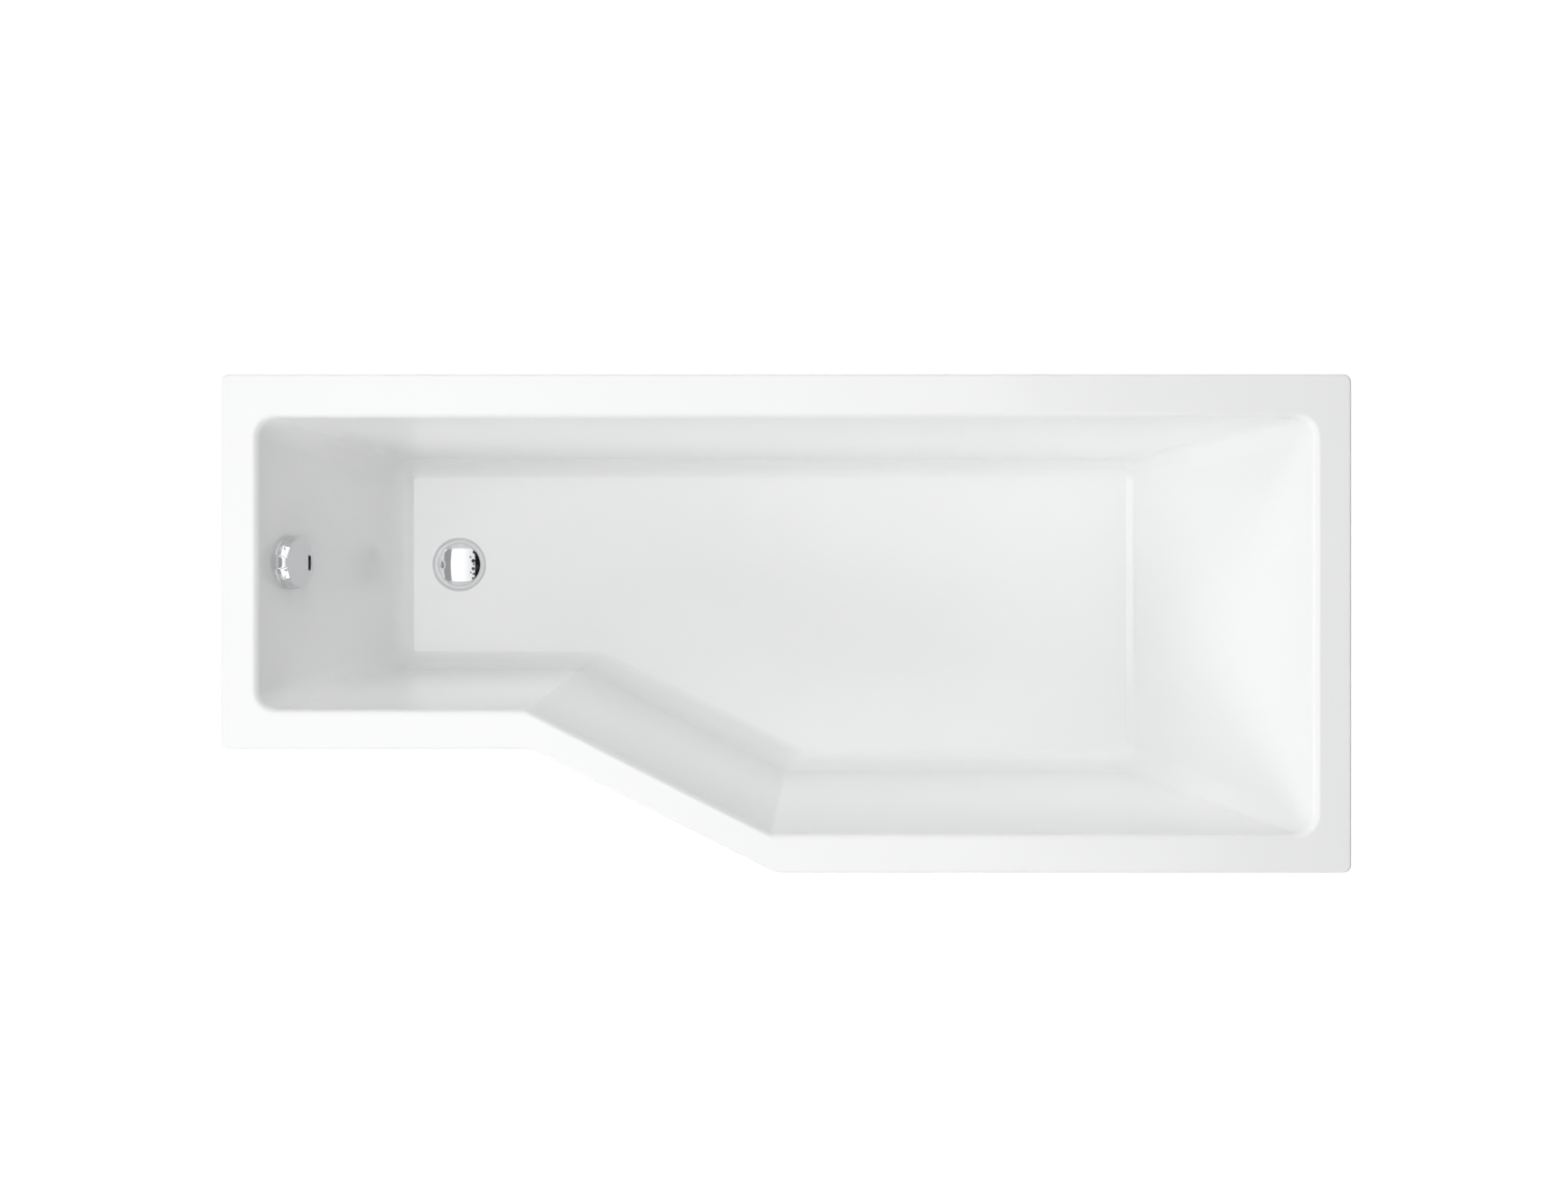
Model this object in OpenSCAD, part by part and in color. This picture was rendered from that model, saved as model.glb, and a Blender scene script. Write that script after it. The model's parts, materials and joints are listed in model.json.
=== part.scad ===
// Shower bath with an angled step in its front: a wide showering end and a
// narrow waste end. The bath stands on its adjustable feet, back edge to +Y,
// waste end to -X. The origin is on the floor, under the middle of the rim's box.

/* [Bath outline] */
// Overall length of the rim, along X
bath_l = 1700; // [1600:10:1800]
// Overall width of the rim at the wide end, along Y
bath_w = 750; // [720:5:800]
// Width of the rim at the narrow waste end
narrow_w = 564; // [540:2:600]
// Distance from the waste end to where the front starts to angle out
step_start = 466; // [440:2:490]
// Distance from the waste end to where the front is at full width
step_end = 835; // [800:5:880]
// Height of the rim above the floor, on feet set to the middle of their travel
bath_h = 590; // [575:5:620]
// Outer corner radius of the rim
outer_r = 12; // [6:1:20]

/* [Rim] */
// Width of the flat rim along the back wall
rim_back = 65; // [60:1:72]
// Width of the flat rim along the two straight fronts
rim_front = 59; // [57:1:70]
// Width of the flat rim at both ends
rim_end = 55; // [52:1:66]
// Width of the flat rim along the angled front
rim_step = 50; // [48:1:58]
// Radius where the rim rolls over into the basin
roll_r = 8; // [7:1:12]
// Radius of the rim's outer top edge
edge_r = 4; // [2:0.5:5]
// Height of the lip that turns down all round the rim
lip_h = 35; // [30:1:40]
// Thickness of the acrylic sheet
shell_t = 5; // [4:0.5:6]
// Corner radius of the basin's opening
open_r = 30; // [24:1:36]

/* [Basin] */
// Depth of the basin from the rim to the floor at the waste end
basin_d = 420; // [390:5:430]
// Fall of the floor from the head end to the waste end
floor_fall = 6; // [2:0.5:9]
// How far the waste end wall leans in from rim to floor
lean_foot = 182; // [170:2:200]
// How far the head end wall leans in from rim to floor
lean_head = 235; // [200:5:260]
// How far the back wall leans in
lean_back = 75; // [69:1:84]
// How far the narrow front wall leans in
lean_narrow = 79; // [72:1:86]
// How far the wide front wall leans in
lean_wide = 103; // [94:1:110]
// How far the angled wall leans in where it meets the narrow front
lean_step_near = 110; // [105:1:115]
// How far the angled wall leans in where it meets the wide front
lean_step_far = 116; // [111:1:121]
// Height of the coved foot of the walls above the floor
cove_h = 40; // [34:1:46]
// Corner radius where the end walls reach the cove
cove_r = 34; // [26:1:44]
// Corner radius of the flat floor
floor_r = 6; // [5:1:12]

/* [Backing and board] */
// Thickness of the fibreglass backing on the walls
backing_t = 3; // [2:0.5:4]
// Distance from the rim's top down to the top edge of the backing
backing_top = 42; // [38:1:50]
// Thickness of the board bonded under the floor
board_t = 18; // [15:1:20]
// Distance from the floor's edge in to the board's edge
board_in = 15; // [12:1:20]
// Width of the timber battens bonded under the rim
batten_w = 28; // [24:1:28]
// Thickness of the battens
batten_t = 16; // [14:1:18]
// Distance between the two wall brackets
bracket_apart = 1020; // [800:20:1200]
// Radius of the screw hole in a wall bracket
bracket_hole_r = 3.5; // [2.5:0.25:4]

/* [Feet] */
// Distance from the waste end to the rail near the waste
rail_near = 450; // [440:2:460]
// Distance from the head end to the rail near the head
rail_far = 420; // [390:5:450]
// Height of a rail's channel
rail_h = 20; // [16:1:22]
// Width of a rail's channel
rail_w = 30; // [28:1:34]
// Thickness of the steel of rails and brackets
steel_t = 2; // [1.5:0.5:2.5]
// How far each leg stands outside the edge of the floor
leg_out = 57; // [52:1:60]
// Radius of the threaded studs
stud_r = 5; // [4:0.5:5]
// Radius of the foot pads
pad_r = 28; // [24:1:32]
// Height of the centre foot's bracket under the board
centre_h = 36; // [35:1:40]

/* [Waste] */
// Distance from the floor's edge at the waste end to the waste
waste_in = 75; // [70:1:82]
// Radius of the shallow dish round the waste
dish_r = 43.5; // [42:0.5:46]
// Depth of the dish
dish_d = 4; // [3:0.5:4.5]
// Radius of the waste hole in the acrylic
waste_hole_r = 26; // [25.5:0.5:27]
// Radius of the domed plug
plug_r = 35; // [33:0.5:36]
// Height of the plug's dome above its edge
plug_dome = 5; // [3:0.5:7]
// Travel of the plug from shut to open
plug_lift = 12; // [8:1:12]
// Length of the lever that lifts the plug, from its shaft to its roller
lever_l = 18; // [16:0.5:18]
// Outer radius of the drain pipe
pipe_r = 20; // [18:0.5:20]
// Wall of the drain pipe
pipe_t = 2; // [1.5:0.5:3]
// Centreline radius of the bends in the drain
bend_r = 32; // [30:1:33]
// Height of the trap's rising leg above the start of its bend
trap_rise = 12; // [12:1:18]
// Centreline radius of the outlet's elbow
elbow_r = 24; // [22:1:26]
// Length of the straight outlet beyond its elbow
outlet_l = 90; // [70:5:110]

/* [Overflow] */
// Distance from the rim's top down to the middle of the overflow
overflow_down = 82; // [76:1:90]
// Radius of the overflow hole in the acrylic
overflow_hole_r = 33; // [32:0.5:34]
// Radius of the turning knob over the overflow
knob_r = 41; // [40:0.5:43]
// Depth of the knob from its back edge to its face
knob_d = 17; // [15:1:19]
// Gap between the wall and the knob's back edge, where water enters
knob_gap = 5; // [4.5:0.5:7]
// Width of the nib on top of the knob
nib_w = 21; // [16:1:24]
// Width of the notch at the bottom of the knob
notch_w = 22; // [16:1:24]
// Outer radius of the ribbed overflow hose
hose_r = 17; // [15.5:0.5:18]
// Pitch of the hose's ribs
rib_pitch = 8; // [7:0.5:10]

/* [Hidden] */
$fn = 64;

white = "white";
resin = "#d9d4c0";
timber = "#b8945f";
zinc = "#b9bcbf";
black = "#26272a";
chrome = "#d5d8dc";
moulded = "#ececea";
rubber = "#2d2d2f";
steel = "#c4c7ca";

fit = 0.1;      // running gap round studs, spindles and pins
seat = 0.2;     // gap that a soft face keeps from what it closes on
bond = 0.3;     // resin film between acrylic and backing
slack = 0.4;    // play between the lever's roller and the plug's stem

// Segments round each of the six corners, from the waste end's front, anticlockwise.
seg = [9, 4, 4, 9, 9, 9];
// 1 where a corner bulges outwards, -1 at the inward corner that starts the step.
bulge = [1, -1, 1, 1, 1, 1];
roll_steps = 5;
cove_steps = 6;
cove_end = 80;  // angle at which the cove stops short of flat, which leaves a crease

// Seven inward distances place an outline: waste end, head end, back, narrow front,
// wide front, and the angled front at its near and its far corner.
rim = [rim_end, rim_end, rim_back, rim_front, rim_front, rim_step, rim_step];
lean = [lean_foot, lean_head, lean_back, lean_narrow, lean_wide, lean_step_near, lean_step_far];
cove = [16, 5, 25, 22, 26, 31, 37];     // how far each cove reaches beyond its wall's own slope
slope = [for (i = [0:6]) (lean[i] - cove[i]) / basin_d];
cove_d = basin_d - cove_h;

narrow_y = bath_w / 2 - narrow_w;
step_x = step_start - bath_l / 2;
step_a = atan2(bath_w - narrow_w, step_end - step_start);

outer_radii = [outer_r, 60, 40, outer_r, outer_r, outer_r];
open_radii = [open_r, 14, 15, open_r, open_r, open_r];
cove_radii = [cove_r, 8, 25, cove_r, cove_r, cove_r];
floor_radii = [floor_r, 5, 5, floor_r, floor_r, floor_r];

floor_line = rim + lean;
floor_x = floor_line[0] - bath_l / 2;
floor_l = bath_l - floor_line[0] - floor_line[1];
floor_back = bath_w / 2 - floor_line[2];
floor_narrow = narrow_y + floor_line[3];
floor_wide = floor_line[4] - bath_w / 2;

// Levels, from the floor of the basin down to the rails.
floor_z = bath_h - basin_d;
backing_z = floor_z - shell_t - bond - backing_t;
board_z = backing_z - board_t;
dish_z = floor_z - dish_d;
dish_under = dish_z - shell_t;

// ---- outlines and skins ----

function unit(a) = a / norm(a);
function left(a) = [-a[1], a[0]];
function turned(a, d) = [a[0] * cos(d) - a[1] * sin(d), a[0] * sin(d) + a[1] * cos(d)];
function mix(a, b, t) = a + (b - a) * t;
function grown(radii, by) = [for (k = [0:5]) max(1, radii[k] + bulge[k] * by)];

// X at which the angled line, moved in by off, crosses the line y.
function step_at(off, y) = step_x + (off - (y - narrow_y) * cos(step_a)) / sin(step_a);

function vertices(off) = let (
    xl = off[0] - bath_l / 2,
    xr = bath_l / 2 - off[1],
    yb = bath_w / 2 - off[2],
    yn = narrow_y + off[3],
    yw = off[4] - bath_w / 2
) [[xl, yn], [step_at(off[5], yn), yn], [step_at(off[6], yw), yw], [xr, yw], [xr, yb], [xl, yb]];

// The round of radius r between the lines a-b and b-c.
function corner(a, b, c, r, n) = let (
    u = unit(b - a),
    w = unit(c - b),
    bend = atan2(u[0] * w[1] - u[1] * w[0], u * w),
    side = sign(bend) * left(u),
    centre = b - u * r * tan(abs(bend) / 2) + side * r
) [for (i = [0:n]) centre - turned(side, bend * i / n) * r];

function outline(off, radii) = let (v = vertices(off))
    [for (k = [0:5]) each corner(v[(k + 5) % 6], v[k], v[(k + 1) % 6], radii[k], seg[k])];

function fall_at(x) = floor_fall * (x - floor_x) / floor_l;

// An outline at a depth below the rim; tilt is how much of the floor's fall it takes.
function ring(off, radii, depth, tilt = 0) =
    [for (p = outline(off, radii)) [p[0], p[1], bath_h - depth + tilt * fall_at(p[0])]];

// Rings of the rolled edge, on a face that lies out behind the basin's inner face.
function roll(out) = [for (i = [0:roll_steps]) let (
    a = 90 * i / roll_steps,
    back = out + (roll_r - out) * (1 - sin(a)),
    depth = out + (roll_r - out) * (1 - cos(a))
) ring(rim + slope * depth - [for (j = [0:6]) back], grown(open_radii, back), depth)];

// One ring part of the way down the walls.
function wall(out, depth) = ring(rim + slope * depth - [for (j = [0:6]) out],
    grown(mix(open_radii, cove_radii, (depth - roll_r) / (cove_d - roll_r)), out), depth);

// Rings of the cove at the foot of the walls.
function coving(out, tilt = 1) = [for (i = [0:cove_steps]) let (
    b = cove_end * i / cove_steps,
    share = (1 - cos(b)) / (1 - cos(cove_end)),
    drop = sin(b) / sin(cove_end),
    off = rim + slope * mix(cove_d, basin_d, drop) + cove * share
) ring(off - [for (j = [0:6]) out * (1 - share)], mix(grown(cove_radii, out), floor_radii, share),
    mix(cove_d, basin_d + out, drop), tilt * share)];

function reversed(list) = [for (i = [len(list) - 1:-1:0]) list[i]];
function inset(by) = [for (j = [0:6]) by];

// The rim's outer edge and lip, from the lip's inside up and over to the rim's top.
function edge() = concat(
    [ring(inset(shell_t), grown(outer_radii, -shell_t), shell_t),
     ring(inset(shell_t), grown(outer_radii, -shell_t), lip_h),
     ring(inset(0), outer_radii, lip_h)],
    [for (i = [0:3]) let (a = 30 * i, back = edge_r * (1 - cos(a)))
        ring(inset(back), grown(outer_radii, -back), edge_r * (1 - sin(a)))]);

// A closed skin through rings of equal length. Both diagonals are chosen the same way
// on rising and on falling faces, so that two skins on one surface match.
module skin(rings) {
    n = len(rings[0]);
    m = len(rings);
    points = [for (r = rings) each r];
    sides = [for (k = [0:m - 2], j = [0:n - 1]) let (
        a = k * n + j,
        b = k * n + (j + 1) % n,
        c = a + n,
        d = b + n
    ) each (rings[k][0][2] > rings[k + 1][0][2]
        ? [[a, c, b], [c, d, b]] : [[a, c, d], [a, d, b]])];
    first = [for (j = [0:n - 1]) j];
    last = [for (j = [n - 1:-1:0]) (m - 1) * n + j];
    polyhedron(points = points, faces = concat([first], sides, [last]), convexity = 8);
}

// A tube swept along a route: radii gives the outer radius at each point of the route.
module swept(route, radii, bore, sides) {
    n = len(route);
    ahead = [for (i = [0:n - 1]) unit(route[min(i + 1, n - 1)] - route[max(i - 1, 0)])];
    function circle_at(i, r) = let (
        side = unit(cross(ahead[i], [0.01, 1, 0.02])),
        up = cross(side, ahead[i])
    ) [for (j = [0:sides - 1]) let (a = 360 * j / sides)
        route[i] + r * (cos(a) * side + sin(a) * up)];
    outside = [for (i = [0:n - 1]) each circle_at(i, radii[i])];
    inside = bore > 0 ? [for (i = [0:n - 1]) each circle_at(i, bore)] : [];
    function quad(base, i, j, flip) = let (
        a = base + i * sides + j,
        b = base + i * sides + (j + 1) % sides
    ) flip ? [[a, b + sides, a + sides], [a, b, b + sides]]
           : [[a, a + sides, b + sides], [a, b + sides, b]];
    walls = [for (i = [0:n - 2], j = [0:sides - 1]) each concat(
        quad(0, i, j, false), bore > 0 ? quad(n * sides, i, j, true) : [])];
    ends = bore > 0
        ? [for (j = [0:sides - 1]) let (k = (j + 1) % sides, f = n * sides, e = (n - 1) * sides)
            each [[j, k, f + k], [j, f + k, f + j],
                  [e + j, f + e + k, e + k], [e + j, f + e + j, f + e + k]]]
        : [[for (j = [0:sides - 1]) j], [for (j = [sides - 1:-1:0]) (n - 1) * sides + j]];
    polyhedron(points = concat(outside, inside), faces = concat(walls, ends), convexity = 8);
}

module ring_of(r_out, r_in, h) {
    difference() {
        cylinder(r = r_out, h = h);
        translate([0, 0, -1]) cylinder(r = r_in, h = h + 2);
    }
}

module at_waste() {
    translate([waste_x, waste_y, 0]) children();
}

// Local +Z points out of the end wall into the basin, and local +X down the wall.
module at_overflow() {
    translate([overflow_x, waste_y, bath_h - overflow_down]) rotate([0, 90 - wall_tilt, 0]) children();
}

waste_x = floor_x + waste_in;
waste_y = (floor_back + floor_narrow) / 2;
trap_y = -2 * bend_r;               // from the waste to the trap's rising leg
wall_tilt = atan(slope[0]);
overflow_x = rim_end + slope[0] * overflow_down - bath_l / 2;

// ---- bath ----

module bath_shell() {
    boss_r = dish_r + shell_t;
    color(white) difference() {
        union() {
            skin(concat(reversed(coving(shell_t)), [wall(shell_t, backing_top)],
                reversed(roll(shell_t)), edge(), roll(0), coving(0)));
            at_waste() translate([0, 0, dish_under]) cylinder(r = boss_r, h = shell_t + dish_d - 1);
        }
        at_waste() {
            translate([0, 0, dish_z]) cylinder(r1 = dish_r - dish_d, r2 = dish_r, h = dish_d);
            translate([0, 0, floor_z]) cylinder(r = dish_r, h = floor_fall + 1);
            translate([0, 0, dish_under - 1]) cylinder(r = waste_hole_r, h = shell_t + 2);
        }
        at_overflow() translate([0, 0, -shell_t - 2]) cylinder(r = overflow_hole_r, h = shell_t + 4);
    }
}

module fibreglass_backing() {
    inner = shell_t + bond;
    outer = inner + backing_t;
    color(resin) difference() {
        skin(concat(reversed(coving(outer, 0)), [wall(outer, backing_top), wall(inner, backing_top)],
            coving(inner)));
        at_waste() translate([0, 0, backing_z - 1]) cylinder(r = waste_clear_r, h = backing_t * 5);
        at_overflow() translate([0, 0, -outer - 2]) cylinder(r = overflow_hole_r, h = outer + 2);
    }
}

waste_clear_r = dish_r + shell_t + 6;
slot_y = waste_y + trap_y - pipe_r - 8;

module base_board() {
    color(timber) difference() {
        translate([0, 0, board_z]) linear_extrude(board_t)
            polygon(outline(floor_line + inset(board_in), floor_radii));
        at_waste() translate([0, 0, board_z - 1]) cylinder(r = waste_clear_r, h = board_t + 2);
        // open to the waste end, so that the hose can come in and the drain go out
        translate([floor_x, slot_y, board_z - 1])
            cube([waste_in, waste_y + waste_clear_r - slot_y, board_t + 2]);
        screw_places() translate([0, 0, board_z - 1]) cylinder(r = screw_r + fit, h = screw_bite + 1 + fit);
    }
}

// ---- battens under the rim, and the brackets to the wall ----

batten_in = shell_t + 4;    // from the rim's outer edge to a batten
batten_z = bath_h - shell_t - batten_t;
batten_end = 66;            // from the rim's corners to the ends of the battens
batten_gap = 20;            // from the step's corners to the ends of the battens

module batten(length) {
    translate([0, batten_in, batten_z]) cube([length, batten_w, batten_t]);
}

module batten_back() {
    color(timber) difference() {
        translate([batten_end - bath_l / 2, bath_w / 2, 0]) mirror([0, 1, 0])
            batten(bath_l - 2 * batten_end);
        for (x = bracket_xs) bracket_screw_places(x)
            translate([0, 0, batten_z - 1]) cylinder(r = screw_r + fit, h = bracket_bite + 1 + fit);
    }
}

module batten_head_end() {
    color(timber) translate([bath_l / 2, batten_end - bath_w / 2, 0]) rotate(90)
        batten(bath_w - 2 * batten_end);
}

module batten_waste_end() {
    color(timber) translate([-bath_l / 2, narrow_y + batten_end, 0]) mirror([1, 0, 0]) rotate(90)
        batten(narrow_w - 2 * batten_end);
}

module batten_narrow_front() {
    color(timber) translate([batten_end - bath_l / 2, narrow_y, 0]) batten(step_start - batten_end - batten_gap);
}

module batten_wide_front() {
    color(timber) translate([step_end - bath_l / 2 + batten_gap, -bath_w / 2, 0])
        batten(bath_l - step_end - batten_gap - batten_end);
}

module batten_angled() {
    run = norm([step_end - step_start, bath_w - narrow_w]);
    color(timber) translate([step_x, narrow_y, 0]) rotate(-step_a) translate([batten_gap, 0, 0])
        batten(run - 2 * batten_gap);
}

bracket_xs = [-bracket_apart / 2, bracket_apart / 2];
bracket_w = 40;
bracket_drop = 48;          // from the lip's bottom to the bracket's bottom
bracket_hole_down = 30;     // from the lip's bottom to the hole's middle
bracket_hole_z = bath_h - lip_h - bracket_hole_down;
bracket_bite = 11;          // how far the bracket's screws go into the batten
bracket_screw_out = 12;     // from the bracket's middle to each of its screws
web_gap = 6;                // between the bracket's web and the lip
hook_gap = 5;               // between the bracket's hook and the lip's bottom

module bracket_screw_places(x) {
    for (side = [-1, 1]) translate([x + side * bracket_screw_out, bath_w / 2 - batten_in - batten_w / 2, 0]) children();
}

module wall_bracket(x) {
    back = bath_w / 2;
    inside = back - shell_t - web_gap;
    shelf = bath_h - lip_h - hook_gap;
    color(zinc) difference() {
        translate([x - bracket_w / 2, 0, 0]) {
            translate([0, back - batten_in - batten_w + 2, batten_z - steel_t])
                cube([bracket_w, inside - back + batten_in + batten_w - 2, steel_t]);
            translate([0, inside - steel_t, shelf - steel_t])
                cube([bracket_w, steel_t, batten_z - shelf + steel_t]);
            translate([0, inside - steel_t, shelf - steel_t]) cube([bracket_w, back - inside + steel_t, steel_t]);
            translate([0, back - steel_t, bath_h - lip_h - bracket_drop])
                cube([bracket_w, steel_t, bracket_drop - hook_gap]);
        }
        translate([x, back + 1, bracket_hole_z]) rotate([90, 0, 0])
            cylinder(r = bracket_hole_r, h = steel_t + 2);
        bracket_screw_places(x) translate([0, 0, batten_z - steel_t - 1])
            cylinder(r = screw_r + 2 * fit, h = steel_t + 2);
    }
}

module wall_bracket_left() wall_bracket(bracket_xs[0]);
module wall_bracket_right() wall_bracket(bracket_xs[1]);

module wall_bracket_screws() {
    color(steel) for (x = bracket_xs) bracket_screw_places(x)
        translate([0, 0, batten_z - steel_t]) wood_screw(steel_t + bracket_bite);
}

// ---- rails, brackets and feet ----

screw_r = 2.2;
screw_head_r = 4.5;
screw_head_h = 2.6;
screw_cross_l = 4.8;        // length of the cross in a screw's head
screw_cross_w = 1;
screw_cross_d = 1.2;
screw_stop = 5;             // what is left of the board beyond the rails' screws
screw_bite = board_t - screw_stop;  // how far the rails' screws go into the board

// A pan-headed screw that points up, with its head below z = 0.
module wood_screw(length) {
    cylinder(r = screw_r, h = length);
    translate([0, 0, -screw_head_h]) difference() {
        cylinder(r1 = screw_head_r - screw_head_h / 2, r2 = screw_head_r, h = screw_head_h);
        for (a = [0, 90]) rotate(a) translate([-screw_cross_l / 2, -screw_cross_w / 2, -1])
            cube([screw_cross_l, screw_cross_w, screw_cross_d + 1]);
    }
}

rail_xs = [rail_near - bath_l / 2, bath_l / 2 - rail_far];
rail_fronts = [floor_narrow - leg_out, floor_wide - leg_out];
rail_back = floor_back + leg_out;
rail_over = 20;             // how far a rail runs past its legs
centre_x = 0;
centre_y = (floor_back + floor_wide) / 2;
// Legs 1 and 2 are on the waste end's rail, 3 and 4 on the head end's, 5 in the middle.
legs = [[rail_xs[0], rail_fronts[0], board_z - steel_t], [rail_xs[0], rail_back, board_z - steel_t],
    [rail_xs[1], rail_fronts[1], board_z - steel_t], [rail_xs[1], rail_back, board_z - steel_t],
    [centre_x, centre_y, board_z - centre_h]];

// Each rail's screws: how far along it, and on which side of its middle.
rail_screw_marks = [[0.3, -1], [0.42, 1], [0.58, -1], [0.7, 1]];

module screw_places() {
    for (i = [0, 1], mark = rail_screw_marks)
        translate([rail_xs[i] + mark[1] * rail_w / 5, mix(rail_fronts[i], rail_back, mark[0]), 0]) children();
    for (x = [-1, 1], y = [-1, 1])
        translate([centre_x + x * centre_depth / 4, centre_y + y * (centre_w + centre_lug) / 2, 0]) children();
}

module rail(x, front) {
    length = rail_back - front + 2 * rail_over;
    color(zinc) difference() {
        translate([x - rail_w / 2, front - rail_over, board_z - rail_h]) cube([rail_w, length, rail_h]);
        translate([x - rail_w / 2 + steel_t, front - rail_over - 1, board_z - rail_h - 1])
            cube([rail_w - 2 * steel_t, length + 2, rail_h + 1 - steel_t]);
        for (y = [front, rail_back]) translate([x, y, board_z - steel_t - 1])
            cylinder(r = stud_r + 0.5, h = steel_t + 2);
        screw_places() translate([0, 0, board_z - steel_t - 1])
            cylinder(r = screw_r + 2 * fit, h = steel_t + 2);
    }
}

module rail_waste_end() rail(rail_xs[0], rail_fronts[0]);
module rail_head_end() rail(rail_xs[1], rail_fronts[1]);

centre_w = 50;              // inner width of the centre bracket, across its walls
centre_lug = 24;            // length of each lug that is screwed to the board
centre_depth = 44;          // width of the centre bracket along X

module centre_bracket() {
    color(zinc) translate([centre_x, centre_y, board_z]) difference() {
        translate([-centre_depth / 2, 0, 0]) {
            translate([0, -centre_w / 2 - centre_lug, -steel_t])
                cube([centre_depth, centre_w + 2 * centre_lug, steel_t]);
            translate([0, -centre_w / 2, -centre_h])
                cube([centre_depth, centre_w, centre_h]);
        }
        translate([-centre_depth / 2 - 1, -centre_w / 2 + steel_t, steel_t - centre_h])
            cube([centre_depth + 2, centre_w - 2 * steel_t, centre_h]);
        translate([0, 0, -centre_h - 1]) cylinder(r = stud_r + 0.5, h = steel_t + 2);
        translate([-centre_x, -centre_y, 0]) screw_places() translate([0, 0, -steel_t - 1])
            cylinder(r = screw_r + 2 * fit, h = steel_t + 2);
    }
}

module rail_screws() {
    color(steel) screw_places() translate([0, 0, board_z - steel_t]) wood_screw(steel_t + screw_bite);
}

pad_h = 8;
pad_boss_h = 22;
nut_h = 8;
stud_over = 10;             // how far a stud stands above its upper nut

module pad(i) {
    color(black) translate([legs[i][0], legs[i][1], 0]) rotate_extrude() polygon([
        [0, 0], [pad_r - 2, 0], [pad_r, 2], [pad_r, pad_h - 3], [pad_r - 4, pad_h],
        [stud_r + 8, pad_h + 2], [stud_r + 5, pad_boss_h], [stud_r + fit, pad_boss_h],
        [stud_r + fit, pad_h + 4], [0, pad_h + 4]]);
}

module stud(i) {
    base = pad_h + 4;
    top = legs[i][2] + steel_t + nut_h + stud_over;
    color(zinc) translate([legs[i][0], legs[i][1], base]) {
        cylinder(r = stud_r, h = top - base - 1);
        translate([0, 0, top - base - 1]) cylinder(r1 = stud_r, r2 = stud_r - 1, h = 1);
    }
}

module nuts(i) {
    color(steel) for (z = [legs[i][2] - nut_h, legs[i][2] + steel_t]) translate([legs[i][0], legs[i][1], z])
        difference() {
            cylinder(r = stud_r * 1.96, h = nut_h, $fn = 6);
            translate([0, 0, -1]) cylinder(r = stud_r + fit, h = nut_h + 2);
        }
}

// ---- plug and waste ----

gasket_t = 1;
flange_t = 2.5;
flange_z = dish_z + gasket_t;
flange_r = plug_r - 1;
neck_r = waste_hole_r - 1.5;
neck_t = 3;
neck_l = 14;                // length of the neck below the acrylic
neck_bottom = dish_under - neck_l;
seal_h = 2.2;
plug_z = flange_z + flange_t + seat + seal_h;   // underside of the shut plug
stem_r = 4;
edge_t = 2.5;               // thickness of the plug's edge below its dome
guide_wall = 3;             // wall of the guide round the stem
guide_h = 12;
guide_up = 2;               // from the neck's bottom to the guide's
arm_w = 2.5;
arm_h = 6;

module plug_cap() {
    sphere_r = (plug_r * plug_r + plug_dome * plug_dome) / (2 * plug_dome);
    color(chrome) at_waste() translate([0, 0, plug_z]) rotate_extrude() polygon(concat(
        [[0, 0], [plug_r - 0.8, 0], [plug_r, 0.8]],
        [for (i = [0:12]) let (r = plug_r * (1 - i / 12))
            [r, edge_t + sqrt(sphere_r * sphere_r - r * r) - sphere_r + plug_dome]]));
}

module plug_seal() {
    color(rubber) at_waste() translate([0, 0, plug_z - seal_h]) rotate_extrude() polygon([
        [stem_r + 14, seal_h], [stem_r + 17, seal_h / 2], [flange_r - 8, 0], [flange_r - 5, 0.3],
        [flange_r - 4, seal_h]]);
}

roller_r = 3;
lever_half = asin(plug_lift / 2 / lever_l);     // half of the lever's swing
shaft_down = 33;            // from the acrylic's underside, low enough for the lever to clear the guide
shaft_z = dish_under - shaft_down;
roller_z = shaft_z - lever_l * sin(lever_half);
stem_z = roller_z + roller_r + slack;

module plug_stem() {
    color(moulded) at_waste() translate([0, 0, stem_z]) cylinder(r = stem_r, h = plug_z - stem_z);
}

module waste_flange() {
    color(chrome) at_waste() {
        difference() {
            union() {
                translate([0, 0, flange_z]) cylinder(r = flange_r, h = flange_t);
                translate([0, 0, neck_bottom]) cylinder(r = neck_r, h = flange_z - neck_bottom);
            }
            translate([0, 0, neck_bottom - 1]) cylinder(r = neck_r - neck_t, h = flange_z - neck_bottom + 2);
            translate([0, 0, flange_z]) cylinder(r1 = neck_r - neck_t, r2 = neck_r - neck_t + flange_t + 1,
                h = flange_t + 1);
        }
        difference() {
            union() {
                translate([0, 0, neck_bottom + guide_up]) cylinder(r = stem_r + guide_wall, h = guide_h);
                for (a = [90, 210, 330]) rotate(a) translate([0, -arm_w / 2, neck_bottom + guide_up])
                    cube([neck_r - neck_t + 1, arm_w, arm_h]);
            }
            translate([0, 0, neck_bottom]) cylinder(r = stem_r + fit, h = guide_up + guide_h + 2);
        }
    }
}

module flange_gasket() {
    color(rubber) at_waste() translate([0, 0, dish_z]) ring_of(flange_r - 2, waste_hole_r - 1, gasket_t);
}

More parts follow.
